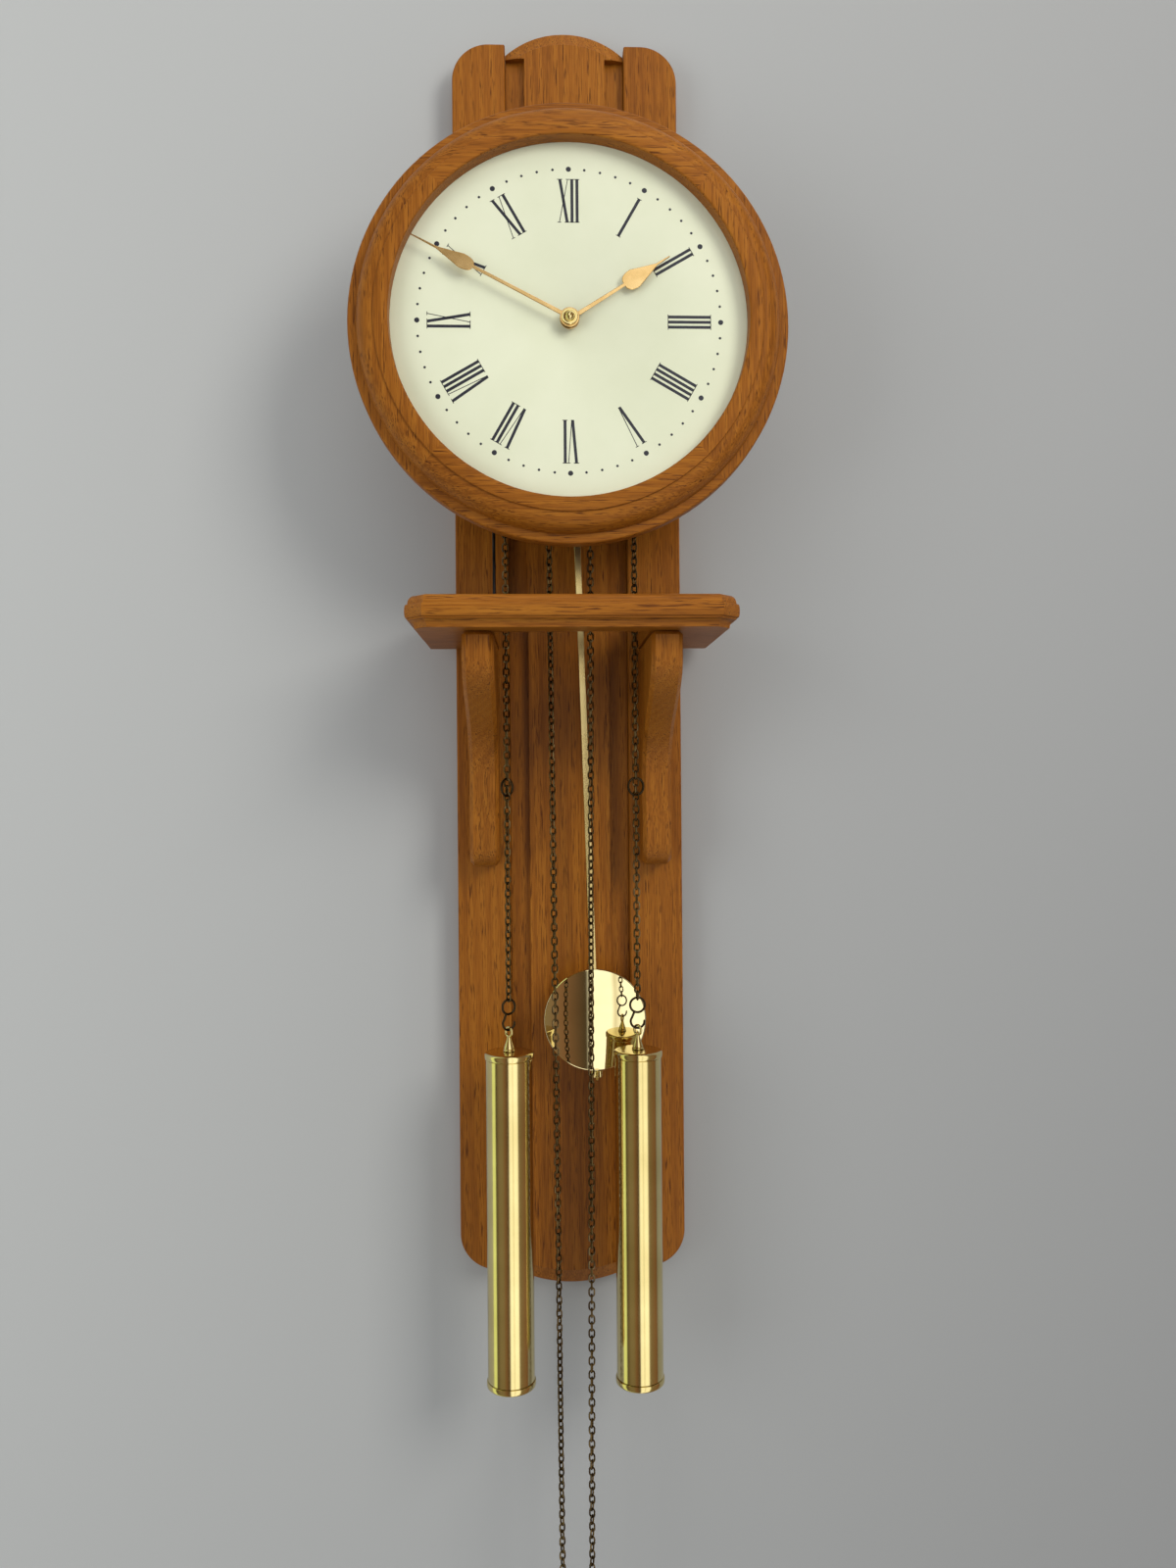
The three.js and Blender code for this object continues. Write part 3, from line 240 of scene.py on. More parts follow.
OAK = oak_look(
    "oak", dark=(0.18, 0.053, 0.0035), middle=(0.28, 0.091, 0.007), light=(0.37, 0.136, 0.0126),
    pore=(0.085, 0.02, 0.0013), roughness=0.46)
CASE_OAK = oak_look(
    "case_oak", dark=(0.06, 0.02, 0.006), middle=(0.11, 0.04, 0.012), light=(0.17, 0.07, 0.022),
    pore=(0.03, 0.01, 0.003), roughness=0.55)
BRASS = metal_look(
    "polished_brass", dull=(0.64, 0.53, 0.24), bright=(0.78, 0.66, 0.33), roughness=(0.09, 0.2),
    patch=18, grain=700, brushed=UPRIGHT_BRUSHED)
MIRROR_BRASS = metal_look(
    "mirror_brass", dull=(0.74, 0.64, 0.36), bright=(0.84, 0.74, 0.44), roughness=(0.02, 0.07),
    patch=24, grain=300, bump=0.006)
HAND_BRASS = metal_look(
    "hand_brass", dull=(0.66, 0.43, 0.17), bright=(0.86, 0.62, 0.3), roughness=(0.16, 0.32),
    patch=60, grain=1200)
ROD_BRASS = metal_look(
    "rod_brass", dull=(0.62, 0.47, 0.2), bright=(0.8, 0.66, 0.33), roughness=(0.2, 0.36),
    patch=30, grain=900, brushed=UPRIGHT_BRUSHED)
MOVEMENT_BRASS = metal_look(
    "movement_brass", dull=(0.5, 0.34, 0.12), bright=(0.72, 0.54, 0.22), roughness=(0.25, 0.45),
    patch=40, grain=800, brushed=(1, 0.05, 1))
BRONZE = metal_look(
    "chain_bronze", dull=(0.05, 0.032, 0.014), bright=(0.2, 0.14, 0.065), roughness=(0.2, 0.42),
    patch=140, grain=1500, bump=0.08)
DARK_WIRE = metal_look(
    "dark_wire", dull=(0.02, 0.014, 0.008), bright=(0.07, 0.05, 0.026), roughness=(0.3, 0.5),
    patch=120, grain=1500, bump=0.08)
STEEL = metal_look(
    "steel", dull=(0.42, 0.43, 0.45), bright=(0.6, 0.61, 0.62), roughness=(0.2, 0.4),
    patch=50, grain=900, brushed=(1, 1, 0.05))
BLACK_STEEL = metal_look(
    "black_steel", dull=(0.012, 0.012, 0.016), bright=(0.05, 0.05, 0.06), roughness=(0.3, 0.5),
    patch=70, grain=900, brushed=(1, 1, 0.05))
IRON = metal_look(
    "iron", dull=(0.08, 0.08, 0.085), bright=(0.17, 0.165, 0.16), roughness=(0.5, 0.75),
    patch=90, grain=600, bump=0.3)
ENAMEL = enamel_look()
INK = ink_look()


# Helpers that turn a bmesh into a piece
def arrised(made, width, steps=2):
    rounded = made.modifiers.new("arris", "BEVEL")
    rounded.width = width * MM
    rounded.segments = steps
    rounded.limit_method = "ANGLE"
    rounded.angle_limit = math.radians(ARRIS_LIMIT)


def smoothed(mesh, sharp):
    mesh.shade_smooth()
    mesh.set_sharp_from_angle(angle=math.radians(sharp))


def laid_along(made, grain):
    """Gives a piece its own frame, whose z is the grain's way, and leaves its shape where it is."""
    made.data.transform(grain.inverted())
    made.matrix_world = grain


def piece(name, bm, material, body, replaced=(), sharp=SHARP, grain=None, arris=0.0, steps=2):
    """Turns a bmesh in millimetres into a piece that rides on a body."""
    bmesh.ops.remove_doubles(bm, verts=bm.verts, dist=0.0005)
    bmesh.ops.recalc_face_normals(bm, faces=bm.faces)
    mesh = bpy.data.meshes.new(name)
    bm.to_mesh(mesh)
    bm.free()
    mesh.transform(Matrix.Scale(MM, 4))
    made = link_object(name, mesh)
    if grain is not None:
        laid_along(made, grain)
    for one in material if isinstance(material, list) else [material]:
        mesh.materials.append(one)
    smoothed(mesh, sharp)
    if arris:
        arrised(made, arris, steps)
    if body:
        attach(made, body)
    if replaced:
        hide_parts(*replaced)
    return made


def log(x, y, z, turn=0.0):
    """A frame for wood, in metres: its grain runs up when turn is 0, across when it is a quarter."""
    return moved(x, y, z) @ Matrix.Rotation(turn, 4, "Y")


def carve(made, boxes):
    """Cuts boxes, each given by its lowest and highest corner, out of a piece."""
    for low, high in boxes:
        bm = bmesh.new()
        bmesh.ops.create_cube(bm, size=1)
        mesh = bpy.data.meshes.new("cutter")
        bm.to_mesh(mesh)
        bm.free()
        cutter = link_object("cutter", mesh)
        low, high = (Vector([c * MM for c in corner]) for corner in (low, high))
        mesh.transform(Matrix.LocRotScale((low + high) / 2, None, high - low))
        cut = made.modifiers.new("cut", "BOOLEAN")
        cut.operation = "DIFFERENCE"
        cut.solver = "EXACT"
        cut.object = cutter
        bpy.context.view_layer.update()
        graph = bpy.context.evaluated_depsgraph_get()
        mesh = bpy.data.meshes.new_from_object(made.evaluated_get(graph))
        made.modifiers.clear()
        old = made.data
        made.data = mesh
        bpy.data.meshes.remove(old)
        bpy.data.objects.remove(cutter)
    smoothed(made.data, SHARP)


# Helpers that draw into a bmesh
def lathe(bm, profile, sides, place, start=0.0, sweep=TURN, closed=True):
    """Turns (radius, height) pairs about the z axis of place."""
    full = abs(sweep - TURN) < 1e-6
    rows = []
    for i in range(sides + (0 if full else 1)):
        a = start + sweep * i / sides
        c, s = math.cos(a), math.sin(a)
        rows.append([bm.verts.new(place @ Vector((r * c, r * s, h))) for r, h in profile])
    count = len(profile)
    for i in range(sides):
        low, high = rows[i], rows[(i + 1) % len(rows)]
        for j in range(count if closed else count - 1):
            k = (j + 1) % count
            bm.faces.new((low[j], low[k], high[k], high[j]))
    if not full:
        bm.faces.new(rows[0])
        bm.faces.new(list(reversed(rows[-1])))


def slab(bm, outline, low, high, place=OUT, material=0):
    """An outline in the xy plane of place, from height low to high."""
    bottom = [bm.verts.new(place @ Vector((x, y, low))) for x, y in outline]
    top = [bm.verts.new(place @ Vector((x, y, high))) for x, y in outline]
    faces = [bm.faces.new(list(reversed(bottom))), bm.faces.new(top)]
    count = len(outline)
    for i in range(count):
        k = (i + 1) % count
        faces.append(bm.faces.new((bottom[i], bottom[k], top[k], top[i])))
    for face in faces:
        face.material_index = material


def loft(bm, levels, place=UP):
    """A solid through outlines at rising heights."""
    rows = [[bm.verts.new(place @ Vector((x, y, h))) for x, y in outline] for outline, h in levels]
    count = len(rows[0])
    bm.faces.new(list(reversed(rows[0])))
    bm.faces.new(rows[-1])
    for low, high in zip(rows, rows[1:]):
        for i in range(count):
            k = (i + 1) % count
            bm.faces.new((low[i], low[k], high[k], high[i]))


def tube(bm, points, radius, sides, closed=False, taper=None):
    """A round wire along points. taper holds a share of the radius for each point."""
    points = [Vector(p) for p in points]
    count = len(points)
    side = None
    rows = []
    for i, p in enumerate(points):
        before = points[(i - 1) % count] if closed or i > 0 else p
        after = points[(i + 1) % count] if closed or i < count - 1 else p
        along = (after - before).normalized()
        if side is None:
            side = along.orthogonal().normalized()
            if abs(along.y) < 0.99 and along.cross(Vector((0, 1, 0))).length > 0.1:
                side = along.cross(Vector((0, 1, 0))).normalized()
        side = (side - along * side.dot(along)).normalized()
        across = along.cross(side)
        r = radius * (taper[i] if taper else 1)
        row = []
        for k in range(sides):
            a = TURN * k / sides
            row.append(bm.verts.new(p + (side * math.cos(a) + across * math.sin(a)) * r))
        rows.append(row)
    for i in range(count if closed else count - 1):
        low, high = rows[i], rows[(i + 1) % count]
        for k in range(sides):
            n = (k + 1) % sides
            bm.faces.new((low[k], low[n], high[n], high[k]))
    if not closed:
        bm.faces.new(list(reversed(rows[0])))
        bm.faces.new(rows[-1])


def hoop(bm, radius, wire, degrees, x, out, z, steps=36, sides=10):
    """An upright ring of wire, turned about z."""
    middle = Vector((x, -out, z))
    turn = math.radians(degrees)
    flat = Vector((math.cos(turn), math.sin(turn), 0))
    up = Vector((0, 0, 1))
    points = []
    for i in range(steps):
        a = TURN * i / steps
        points.append(middle + (flat * math.cos(a) + up * math.sin(a)) * radius)
    tube(bm, points, wire, sides, closed=True)


# Helpers that give points
def arc(cx, cy, radius, start, end, steps):
    angles = [math.radians(start + (end - start) * i / steps) for i in range(steps + 1)]
    return [(cx + radius * math.cos(a), cy + radius * math.sin(a)) for a in angles]


def bezier(points, steps):
    """Points after the first of a quadratic or cubic curve."""
    made = []
    for i in range(1, steps + 1):
        level = [Vector(p) for p in points]
        while len(level) > 1:
            level = [a.lerp(b, i / steps) for a, b in zip(level, level[1:])]
        made.append(tuple(level[0]))
    return made


def spline(points, steps):
    """A smooth line through points."""
    points = [Vector(p) for p in points]
    led = [points[0] * 2 - points[1], *points, points[-1] * 2 - points[-2]]
    made = []
    for a, b, c, d in zip(led, led[1:], led[2:], led[3:]):
        for i in range(steps):
            t = i / steps
            made.append(0.5 * ((2 * b) + (c - a) * t + (2 * a - 5 * b + 4 * c - d) * t * t
                               + (3 * b - a - 3 * c + d) * t * t * t))
    made.append(points[-1])
    return made


# Backboard: two side boards, and between them a panel with arched ends and two channels
BOARD, PANEL = 102, 54  # half widths
BOARD_TOP, BOARD_BOTTOM, BOARD_THICK, BOARD_CORNER = 295, -818, 20, 33
CREST, CREST_ARCH, FOOT, FOOT_ARCH = 310, 81, -834, 117
PANEL_FACE, PANEL_EDGE, BAND = 17, 12, 13  # the bevelled band runs along the arched ends
EDGE_EASE, EDGE_EASE_HEIGHT, BAND_EASE, BAND_EASE_HEIGHT = 0.6, 1, 0.8, 0.5
CHANNEL, CHANNEL_DEPTH, CHANNEL_STOP, CUTTER_PAST = 17.5, 7, 5.5, 4
CORNER_STEPS, ARCH_STEPS = 20, 28


def side_board(side, name):
    middle_x, low_z, high_z = BOARD - BOARD_CORNER, BOARD_BOTTOM + BOARD_CORNER, BOARD_TOP - BOARD_CORNER
    outline = [(PANEL, BOARD_BOTTOM), *arc(middle_x, low_z, BOARD_CORNER, -90, 0, CORNER_STEPS),
               *arc(middle_x, high_z, BOARD_CORNER, 0, 90, CORNER_STEPS), (PANEL, BOARD_TOP)]
    bm = bmesh.new()
    slab(bm, [(side * x, y) for x, y in outline], 0, BOARD_THICK)
    piece(name + "_oak_board", bm, OAK, "root", [name + "_side_board"], arris=1.5, steps=3,
          grain=log(0.31 * side, 0.12, 0.4 + 0.3 * side))


def arch_sag(radius, x):
    return radius - math.sqrt(radius * radius - x * x)


def panel_outline(inset):
    half = PANEL - GAP
    points = []
    for end, radius, sign in ((CREST, CREST_ARCH, 1), (FOOT, FOOT_ARCH, -1)):
        for i in range(ARCH_STEPS + 1):
            x = sign * half * (1 - 2 * i / ARCH_STEPS)
            points.append((x, end - sign * (arch_sag(radius, x) + inset)))
    return points


def channel_box(side):
    near, far = sorted((side * (PANEL - CHANNEL), side * (PANEL + CUTTER_PAST)))
    low = FOOT + arch_sag(FOOT_ARCH, PANEL) + CHANNEL_STOP
    high = CREST - arch_sag(CREST_ARCH, PANEL) - CHANNEL_STOP
    return (near, -(PANEL_FACE + CUTTER_PAST), low), (far, -(PANEL_FACE - CHANNEL_DEPTH), high)


def centre_panel():
    levels = [(0, 0), (0, PANEL_EDGE - EDGE_EASE_HEIGHT), (EDGE_EASE, PANEL_EDGE),
              (BAND - BAND_EASE, PANEL_FACE - BAND_EASE_HEIGHT), (BAND, PANEL_FACE)]
    bm = bmesh.new()
    loft(bm, [(panel_outline(inset), out) for inset, out in levels], OUT)
    panel = piece("oak_panel", bm, OAK, None, ["centre_panel"])
    carve(panel, [channel_box(side) for side in (-1, 1)])
    arrised(panel, 0.7)
    laid_along(panel, log(0.07, 0.2, 0.9))
    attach(panel, "root")


side_board(-1, "left")
side_board(1, "right")
centre_panel()

# Shelf: a cove below, a nosing, and a round above it
SHELF_TOP, SHELF_THICK, SHELF_HALF, SHELF_REACH, SHELF_CUT = -228.8, 25.7, 132.5, 177, 15
SHELF_BACK = BOARD_THICK + GAP
SLOT_HALF, SLOT_REACH = 63, 140
SHELF_INSET, FOLD = 7.7, 2.4  # from the nosing back to the edges, and to the small step beside it
COVE_HEIGHT, COVE_FOLD_HEIGHT = 6.56, 7.9
NOSING_LOW, NOSING_HALF, NOSING_HIGH, NOSING_EASE = 8.2, 5.1, 18.7, 1.5
NOSING_SWELL, NOSING_SPAN = 0.8, 70
SHELF_STEPS = 8


def shelf_outline(inset):
    half, front = SHELF_HALF - inset, SHELF_REACH - inset
    corner = SHELF_CUT - inset * (2 - math.sqrt(2))
    return [(-half, -SHELF_BACK), (-half, corner - front), (corner - half, -front), (half - corner, -front),
            (half, corner - front), (half, -SHELF_BACK), (SLOT_HALF, -SHELF_BACK),
            (SLOT_HALF, -SLOT_REACH), (-SLOT_HALF, -SLOT_REACH), (-SLOT_HALF, -SHELF_BACK)]


def shelf_levels():
    """Insets from the nosing and heights above the underside."""
    round_depth, round_height = SHELF_INSET - FOLD, SHELF_THICK - NOSING_HIGH
    middle, swing = NOSING_LOW + NOSING_HALF, math.radians(NOSING_SPAN)
    levels = [(SHELF_INSET, 0)]
    for i in range(1, SHELF_STEPS + 1):
        a = QUARTER * i / SHELF_STEPS
        levels.append((SHELF_INSET - round_depth * (1 - math.cos(a)), COVE_HEIGHT * math.sin(a)))
    levels += [(FOLD, COVE_FOLD_HEIGHT), (NOSING_EASE, NOSING_LOW)]
    for i in range(SHELF_STEPS + 1):
        a = swing * (2 * i / SHELF_STEPS - 1)
        inset = NOSING_SWELL * (1 - math.cos(a)) / (1 - math.cos(swing))
        levels.append((inset, middle + NOSING_HALF * math.sin(a) / math.sin(swing)))
    levels.append((FOLD, NOSING_HIGH))
    for i in range(1, SHELF_STEPS):
        a = QUARTER * i / SHELF_STEPS
        levels.append((FOLD + round_depth * (1 - math.cos(a)), NOSING_HIGH + round_height * math.sin(a)))
    levels.append((SHELF_INSET, SHELF_THICK))
    return levels


bm = bmesh.new()
loft(bm, [(shelf_outline(inset), SHELF_TOP - SHELF_THICK + height) for inset, height in shelf_levels()])
piece("oak_shelf", bm, OAK, "root", ["shelf"], sharp=28, arris=0.25,
      grain=log(0.2, 0.3, 0.15, QUARTER))

# Brackets
BRACKET_TOP, BRACKET_HEIGHT = SHELF_TOP - SHELF_THICK - GAP, 195
BRACKET_INNER, BRACKET_OUTER = 63.2, 88.7
BRACKET_REACH, BRACKET_NOSE, BRACKET_WAIST, BRACKET_BULB, BRACKET_TOE = 151, 20, 56, 61, 38.3


def down(share):
    return BRACKET_TOP - BRACKET_HEIGHT * share


def bracket_outline():
    """The scroll: a deep hollow, then the bulb at the foot."""
    nose = (BRACKET_REACH, BRACKET_TOP - BRACKET_NOSE)
    waist, bulb = (BRACKET_WAIST, down(0.62)), (BRACKET_BULB, down(0.88))
    points = [(SHELF_BACK, BRACKET_TOP), (BRACKET_REACH, BRACKET_TOP), nose]
    points += bezier([nose, (BRACKET_REACH, down(0.3)), (BRACKET_WAIST, down(0.33)), waist], 26)
    points += bezier([waist, (BRACKET_WAIST, down(0.75)), (BRACKET_BULB, down(0.78)), bulb], 12)
    points += bezier([bulb, (BRACKET_BULB, down(1)), (BRACKET_TOE, down(1))], 12)
    points.append((SHELF_BACK, down(1)))
    return points


for side, name in ((-1, "left"), (1, "right")):
    bm = bmesh.new()
    slab(bm, bracket_outline(), *sorted((side * BRACKET_INNER, side * BRACKET_OUTER)), SIDEWAYS)
    piece(name + "_oak_bracket", bm, OAK, "root", [name + "_bracket"], arris=3.2, steps=1,
          grain=log(0.43 * side, 0.05, 0.2 * side))

# Bezel: four segments, mitred at the corners
LIP, LIP_OUT, LIP_ROUND = 146, 144, 1.6
REBATE, REBATE_OUT = 159, 130.3
OVOLO_START, OVOLO_WIDTH, OVOLO_HEIGHT, OVOLO_FOOT = 158, 15.5, 15, 127
RIM, RIM_OUT, RIM_ROUND, RIM_ARRIS = 181, 126.9, 2.2, 0.7
BEZEL_BACK, SMALL_STEP = 114.3, 0.2
LIP_EDGE = ((1.2, 0), (0.3, 0.4), (0, 1), (0, 2))  # back from the lip's outer corner


def bezel_profile():
    """Radius and out: the lip, its quirk, the ovolo, the rim and the rebate for the dial."""
    round_x, round_y = LIP + LIP_ROUND, LIP_OUT - LIP_ROUND
    points = [(LIP, REBATE_OUT), (LIP, round_y - SMALL_STEP)]
    for a in map(math.radians, (15, 35, 55, 75, 90)):
        points.append((round_x - LIP_ROUND * math.cos(a), round_y + LIP_ROUND * math.sin(a)))
    points += [(OVOLO_START - x, LIP_OUT - y) for x, y in LIP_EDGE]
    for a in map(math.radians, range(6, 90, 7)):
        points.append((OVOLO_START + OVOLO_WIDTH * math.sin(a), OVOLO_FOOT + OVOLO_HEIGHT * math.cos(a)))
    ovolo_end, rim_x, rim_y = OVOLO_START + OVOLO_WIDTH, RIM - RIM_ROUND, RIM_OUT - RIM_ROUND
    points += [(ovolo_end, OVOLO_FOOT + SMALL_STEP), (ovolo_end + RIM_ARRIS, RIM_OUT), (rim_x, RIM_OUT)]
    for a in map(math.radians, (20, 40, 60, 80)):
        points.append((rim_x + RIM_ROUND * math.sin(a), rim_y + RIM_ROUND * math.cos(a)))
    points += [(RIM, BEZEL_BACK + RIM_ARRIS), (RIM - RIM_ARRIS, BEZEL_BACK), (REBATE, BEZEL_BACK),
               (REBATE, REBATE_OUT)]
    return points


for i, name in enumerate(("right", "top", "left", "bottom")):
    bm = bmesh.new()
    lathe(bm, bezel_profile(), 30, OUT, math.radians(-45 + 90 * i), QUARTER)
    grain = log(0.11 + 0.17 * i, 0.21 * i, 0.13 * i, QUARTER if i % 2 else 0.0)
    piece("bezel_" + name, bm, OAK, "root", ["bezel_ring"] if i == 0 else (), sharp=30, grain=grain)

# Dial: a plate with roman numerals and minute dots in raised ink
DIAL_OUT, DIAL_THICK, DIAL_HOLE, DIAL_HOLE_ARRIS = 130, 1.2, 5.5, (0.5, 0.2)
INK_THICK = 0.07
NUMERAL_FOOT, NUMERAL_HEAD, SERIF = 80.5, 116, 0.55
DOT_CIRCLE, HOUR_DOT, MINUTE_DOT, DOT_SIDES = 124, 2.1, 1.05, 20
THICK, HAIR = 2.4, 0.62
# Each letter: its width, then for each stroke the x of its foot and head, its width and its serifs' spare
LETTERS = {
    "I": (4.15, [(0, 0, THICK, 1.8)]),
    "V": (8.6, [(0.2, -2.9, THICK, 2), (0.9, 3.6, HAIR, 2.4)]),
    "X": (9.6, [(3.0, -3.0, THICK, 2), (-3.5, 3.5, HAIR, 2.4)]),
}


def inked(bm, outline):
    slab(bm, outline, DIAL_OUT, DIAL_OUT + INK_THICK, OUT, 1)


def stroke(bm, turn, low, high, width):
    """A stroke cut off level at both ends, in the numeral's own frame, whose y runs outwards."""
    (x0, y0), (x1, y1) = low, high
    half = width / 2
    s, c = math.sin(turn), math.cos(turn)
    inked(bm, [(x * c + y * s, y * c - x * s)
               for x, y in ((x0 - half, y0), (x0 + half, y0), (x1 + half, y1), (x1 - half, y1))])


def numeral(bm, turn, text):
    x = -sum(LETTERS[letter][0] for letter in text) / 2
    for letter in text:
        width, strokes = LETTERS[letter]
        middle = x + width / 2
        x += width
        for foot, head, thickness, _ in strokes:
            stroke(bm, turn, (middle + foot, NUMERAL_FOOT), (middle + head, NUMERAL_HEAD), thickness)
        for foot, head, thickness, spare in strokes:
            if letter != "V":
                ends = [(middle + foot, z) for z in (NUMERAL_FOOT, NUMERAL_FOOT + SERIF)]
                stroke(bm, turn, *ends, thickness + spare)
            ends = [(middle + head, z) for z in (NUMERAL_HEAD - SERIF, NUMERAL_HEAD)]
            stroke(bm, turn, *ends, thickness + spare)


bm = bmesh.new()
dial_edge = REBATE - GAP
hole_wide, hole_deep = DIAL_HOLE_ARRIS
lathe(bm, [(DIAL_HOLE, DIAL_OUT - DIAL_THICK), (dial_edge, DIAL_OUT - DIAL_THICK), (dial_edge, DIAL_OUT),
           (DIAL_HOLE + hole_wide, DIAL_OUT), (DIAL_HOLE, DIAL_OUT - hole_deep)], 128, OUT)
for hour, text in enumerate(("XII", "I", "II", "III", "IIII", "V", "VI", "VII", "VIII", "IX", "X", "XI")):
    numeral(bm, math.radians(30 * hour), text)
for minute in range(60):
    a = math.radians(6 * minute)
    dot = HOUR_DOT if minute % 5 == 0 else MINUTE_DOT
    cx, cy = DOT_CIRCLE * math.sin(a), DOT_CIRCLE * math.cos(a)
    inked(bm, arc(cx, cy, dot, 0, 360, DOT_SIDES)[:-1])
piece("painted_dial", bm, [ENAMEL, INK], "root", ["dial_plate"])

# Hands: a hub, a thin stem, a leaf and a fine point
STEM, HUB, HAND_THICK = 1.7, 8, 1.2
# Length, the leaf's width, the shares of the length where the leaf starts, is widest and ends,
# how far out the hand lies, and its turn clockwise in degrees
HANDS = {
    "hour_hand": (97, 15.9, (0.545, 0.65, 0.87), 134, 57.7),
    "minute_hand": (143.5, 11.9, (0.61, 0.685, 0.84), 138, 297.3),
}
# Radius and out
NUT_PROFILE = [(0, 139.5), (6.2, 139.5), (6.5, 139.8), (6.5, 140.3), (6.1, 140.7), (5.3, 140.7),
               (4.9, 140.35), (4.3, 140.4), (4.0, 140.8), (3.9, 141.4), (3.55, 142.5), (2.9, 143.5),
               (2.0, 144.2), (1.1, 144.55), (0.7, 144.4), (0, 144.3)]


def hand_outline(length, leaf, start, wide, end):
    neck, waist, tip = STEM * 0.75, STEM * 0.55, STEM * 0.275
    half = leaf / 2
    root, widest = (neck, length * start), (half, length * wide)
    right = [root]
    right += bezier([root, (half, length * start), widest], 12)
    right += bezier([widest, (half * 0.55, length * (wide + end) / 2), (waist, length * end)], 14)
    right.append((tip, length))
    edge = math.degrees(math.acos(STEM / HUB))
    hub = arc(0, 0, HUB, 180 - edge, 360 + edge, 40)
    return [*[(-x, y) for x, y in reversed(right)], *hub, *right]


for name, (length, leaf, shares, out, turn) in HANDS.items():
    bm = bmesh.new()
    slab(bm, hand_outline(length, leaf, *shares), out, out + HAND_THICK, OUT @ turned("Z", -turn))
    piece(name + "_brass", bm, HAND_BRASS, name, [name], arris=0.32, steps=2)

bm = bmesh.new()
lathe(bm, NUT_PROFILE, 56, OUT, closed=False)
piece("hand_nut_brass", bm, BRASS, "minute_hand", ["hand_nut"])

# Pendulum: heights and the bob's drop are from the pivot, along the rod
PIVOT, REST_SWING, PENDULUM_OUT = 90, -1.71, 48
ROD_HALF, ROD_THICK_HALF, ROD_TOP, ROD_LOW = 2.8, 1, -20.7, -720
STUD_TOP, STUD_LOW, THREAD_LOW, THREAD_HIGH = -712, -730.9, -730.4, -712
THREAD_PITCH, THREAD_ROOT, THREAD_CREST = 0.7, 1.25, 1.5
BOB_DROP, BOB, BOB_FACE, BOB_RISE, BOB_EDGE = 676.9, 45, 44.2, 6.5, 1.5
BOB_RIM = [(44.6, 49.75), (45, 49.3), (45, 46.7), (44.6, 46.25)]  # radius and out
NUT, NUT_GROOVE, NUT_HEIGHT, NUT_EASE, NUT_EASED, NUT_POINTS = 4.6, 4.3, 5.2, 0.5, 0.9, 64
PLUMB = moved(0, 0, PIVOT) @ turned("Y", REST_SWING)
ROD_LINE = PLUMB @ moved(0, -PENDULUM_OUT, 0)

bm = bmesh.new()
strip = [(-ROD_HALF, ROD_LOW), (ROD_HALF, ROD_LOW), (ROD_HALF, ROD_TOP), (-ROD_HALF, ROD_TOP)]
slab(bm, strip, PENDULUM_OUT - ROD_THICK_HALF, PENDULUM_OUT + ROD_THICK_HALF, PLUMB @ OUT)
piece("pendulum_strip", bm, ROD_BRASS, "pendulum", ["pendulum_rod"], arris=0.35)

threads = []
z = THREAD_LOW
while z < THREAD_HIGH:
    threads += [(THREAD_ROOT, z), (THREAD_CREST, z + THREAD_PITCH / 2)]
    z += THREAD_PITCH
bm = bmesh.new()
lathe(bm, [(0, STUD_LOW), *threads, (0, STUD_TOP)], 20, ROD_LINE, closed=False)
piece("pendulum_stud", bm, ROD_BRASS, "pendulum")


def bob_profile(steps=20):
    """Two crowned faces that meet at a narrow edge."""
    crown = PENDULUM_OUT + BOB_EDGE
    face = [(BOB_FACE * i / steps, crown + BOB_RISE * (1 - (i / steps) ** 2)) for i in range(steps + 1)]
    back = [(r, 2 * PENDULUM_OUT - h) for r, h in reversed(face)]
    return [*face, *BOB_RIM, *back]


bm = bmesh.new()
lathe(bm, bob_profile(), 128, PLUMB @ OUT @ moved(0, -BOB_DROP, 0), closed=False)
piece("bob_disc", bm, MIRROR_BRASS, "pendulum", ["pendulum_bob"], sharp=24)

nut_top = -BOB_DROP - BOB - GAP
knurl = []
for i in range(NUT_POINTS):
    a = TURN * i / NUT_POINTS
    r = NUT if i % 2 else NUT_GROOVE
    knurl.append((r * math.cos(a), r * math.sin(a)))
eased = [(x * NUT_EASED, y * NUT_EASED) for x, y in knurl]
bm = bmesh.new()
loft(bm, [(eased, nut_top - NUT_HEIGHT), (knurl, nut_top - NUT_HEIGHT + NUT_EASE),
          (knurl, nut_top - NUT_EASE), (eased, nut_top)], ROD_LINE)
piece("rating_nut_brass", bm, BRASS, "pendulum", ["rating_nut"], sharp=40)

# Chains, their rings and hooks, and the weights, once for each train
CHAIN_OUT, LINK_PITCH, LINK_HALF, LINK_STRAIGHT, LINK_WIRE = 82, 5.9, 2.25, 1.5, 0.8
LINK_ANGLES = (0, 36, 72, 108, 144, 179.9, 180.1, 216, 252, 288, 324, 360)
WEIGHT_X, FREE_X, SPROCKET_X, SPROCKET_Z, CHAIN_RADIUS = 55.2, 18.4, 36.8, -42, 18.4
TURN_LINKS, TURN_LINK_TWIST = 9, 0.78  # links over the sprocket, and their twist in radians
CHAIN_FOOT, FREE_FOOT, FREE_LEAN = -562.4, -1082.2, 5.95
WIRE = 1.0
STOP_RING, STOP_RING_Z = 7.4, -380
HOOK_RING, HOOK_RING_Z, HOOK, HOOK_Z = 6.3, -567.6, 5.9, -581.5
HOOK_LEAVE, HOOK_FROM, HOOK_TO = 245, 140, 372  # degrees: off the ring, then round the hook
HOOK_TAPER = [0.9, 0.7, 0.35]
EYE, EYE_WIRE, EYE_TURN, EYE_Z = 4.0, 1.1, -50, -589
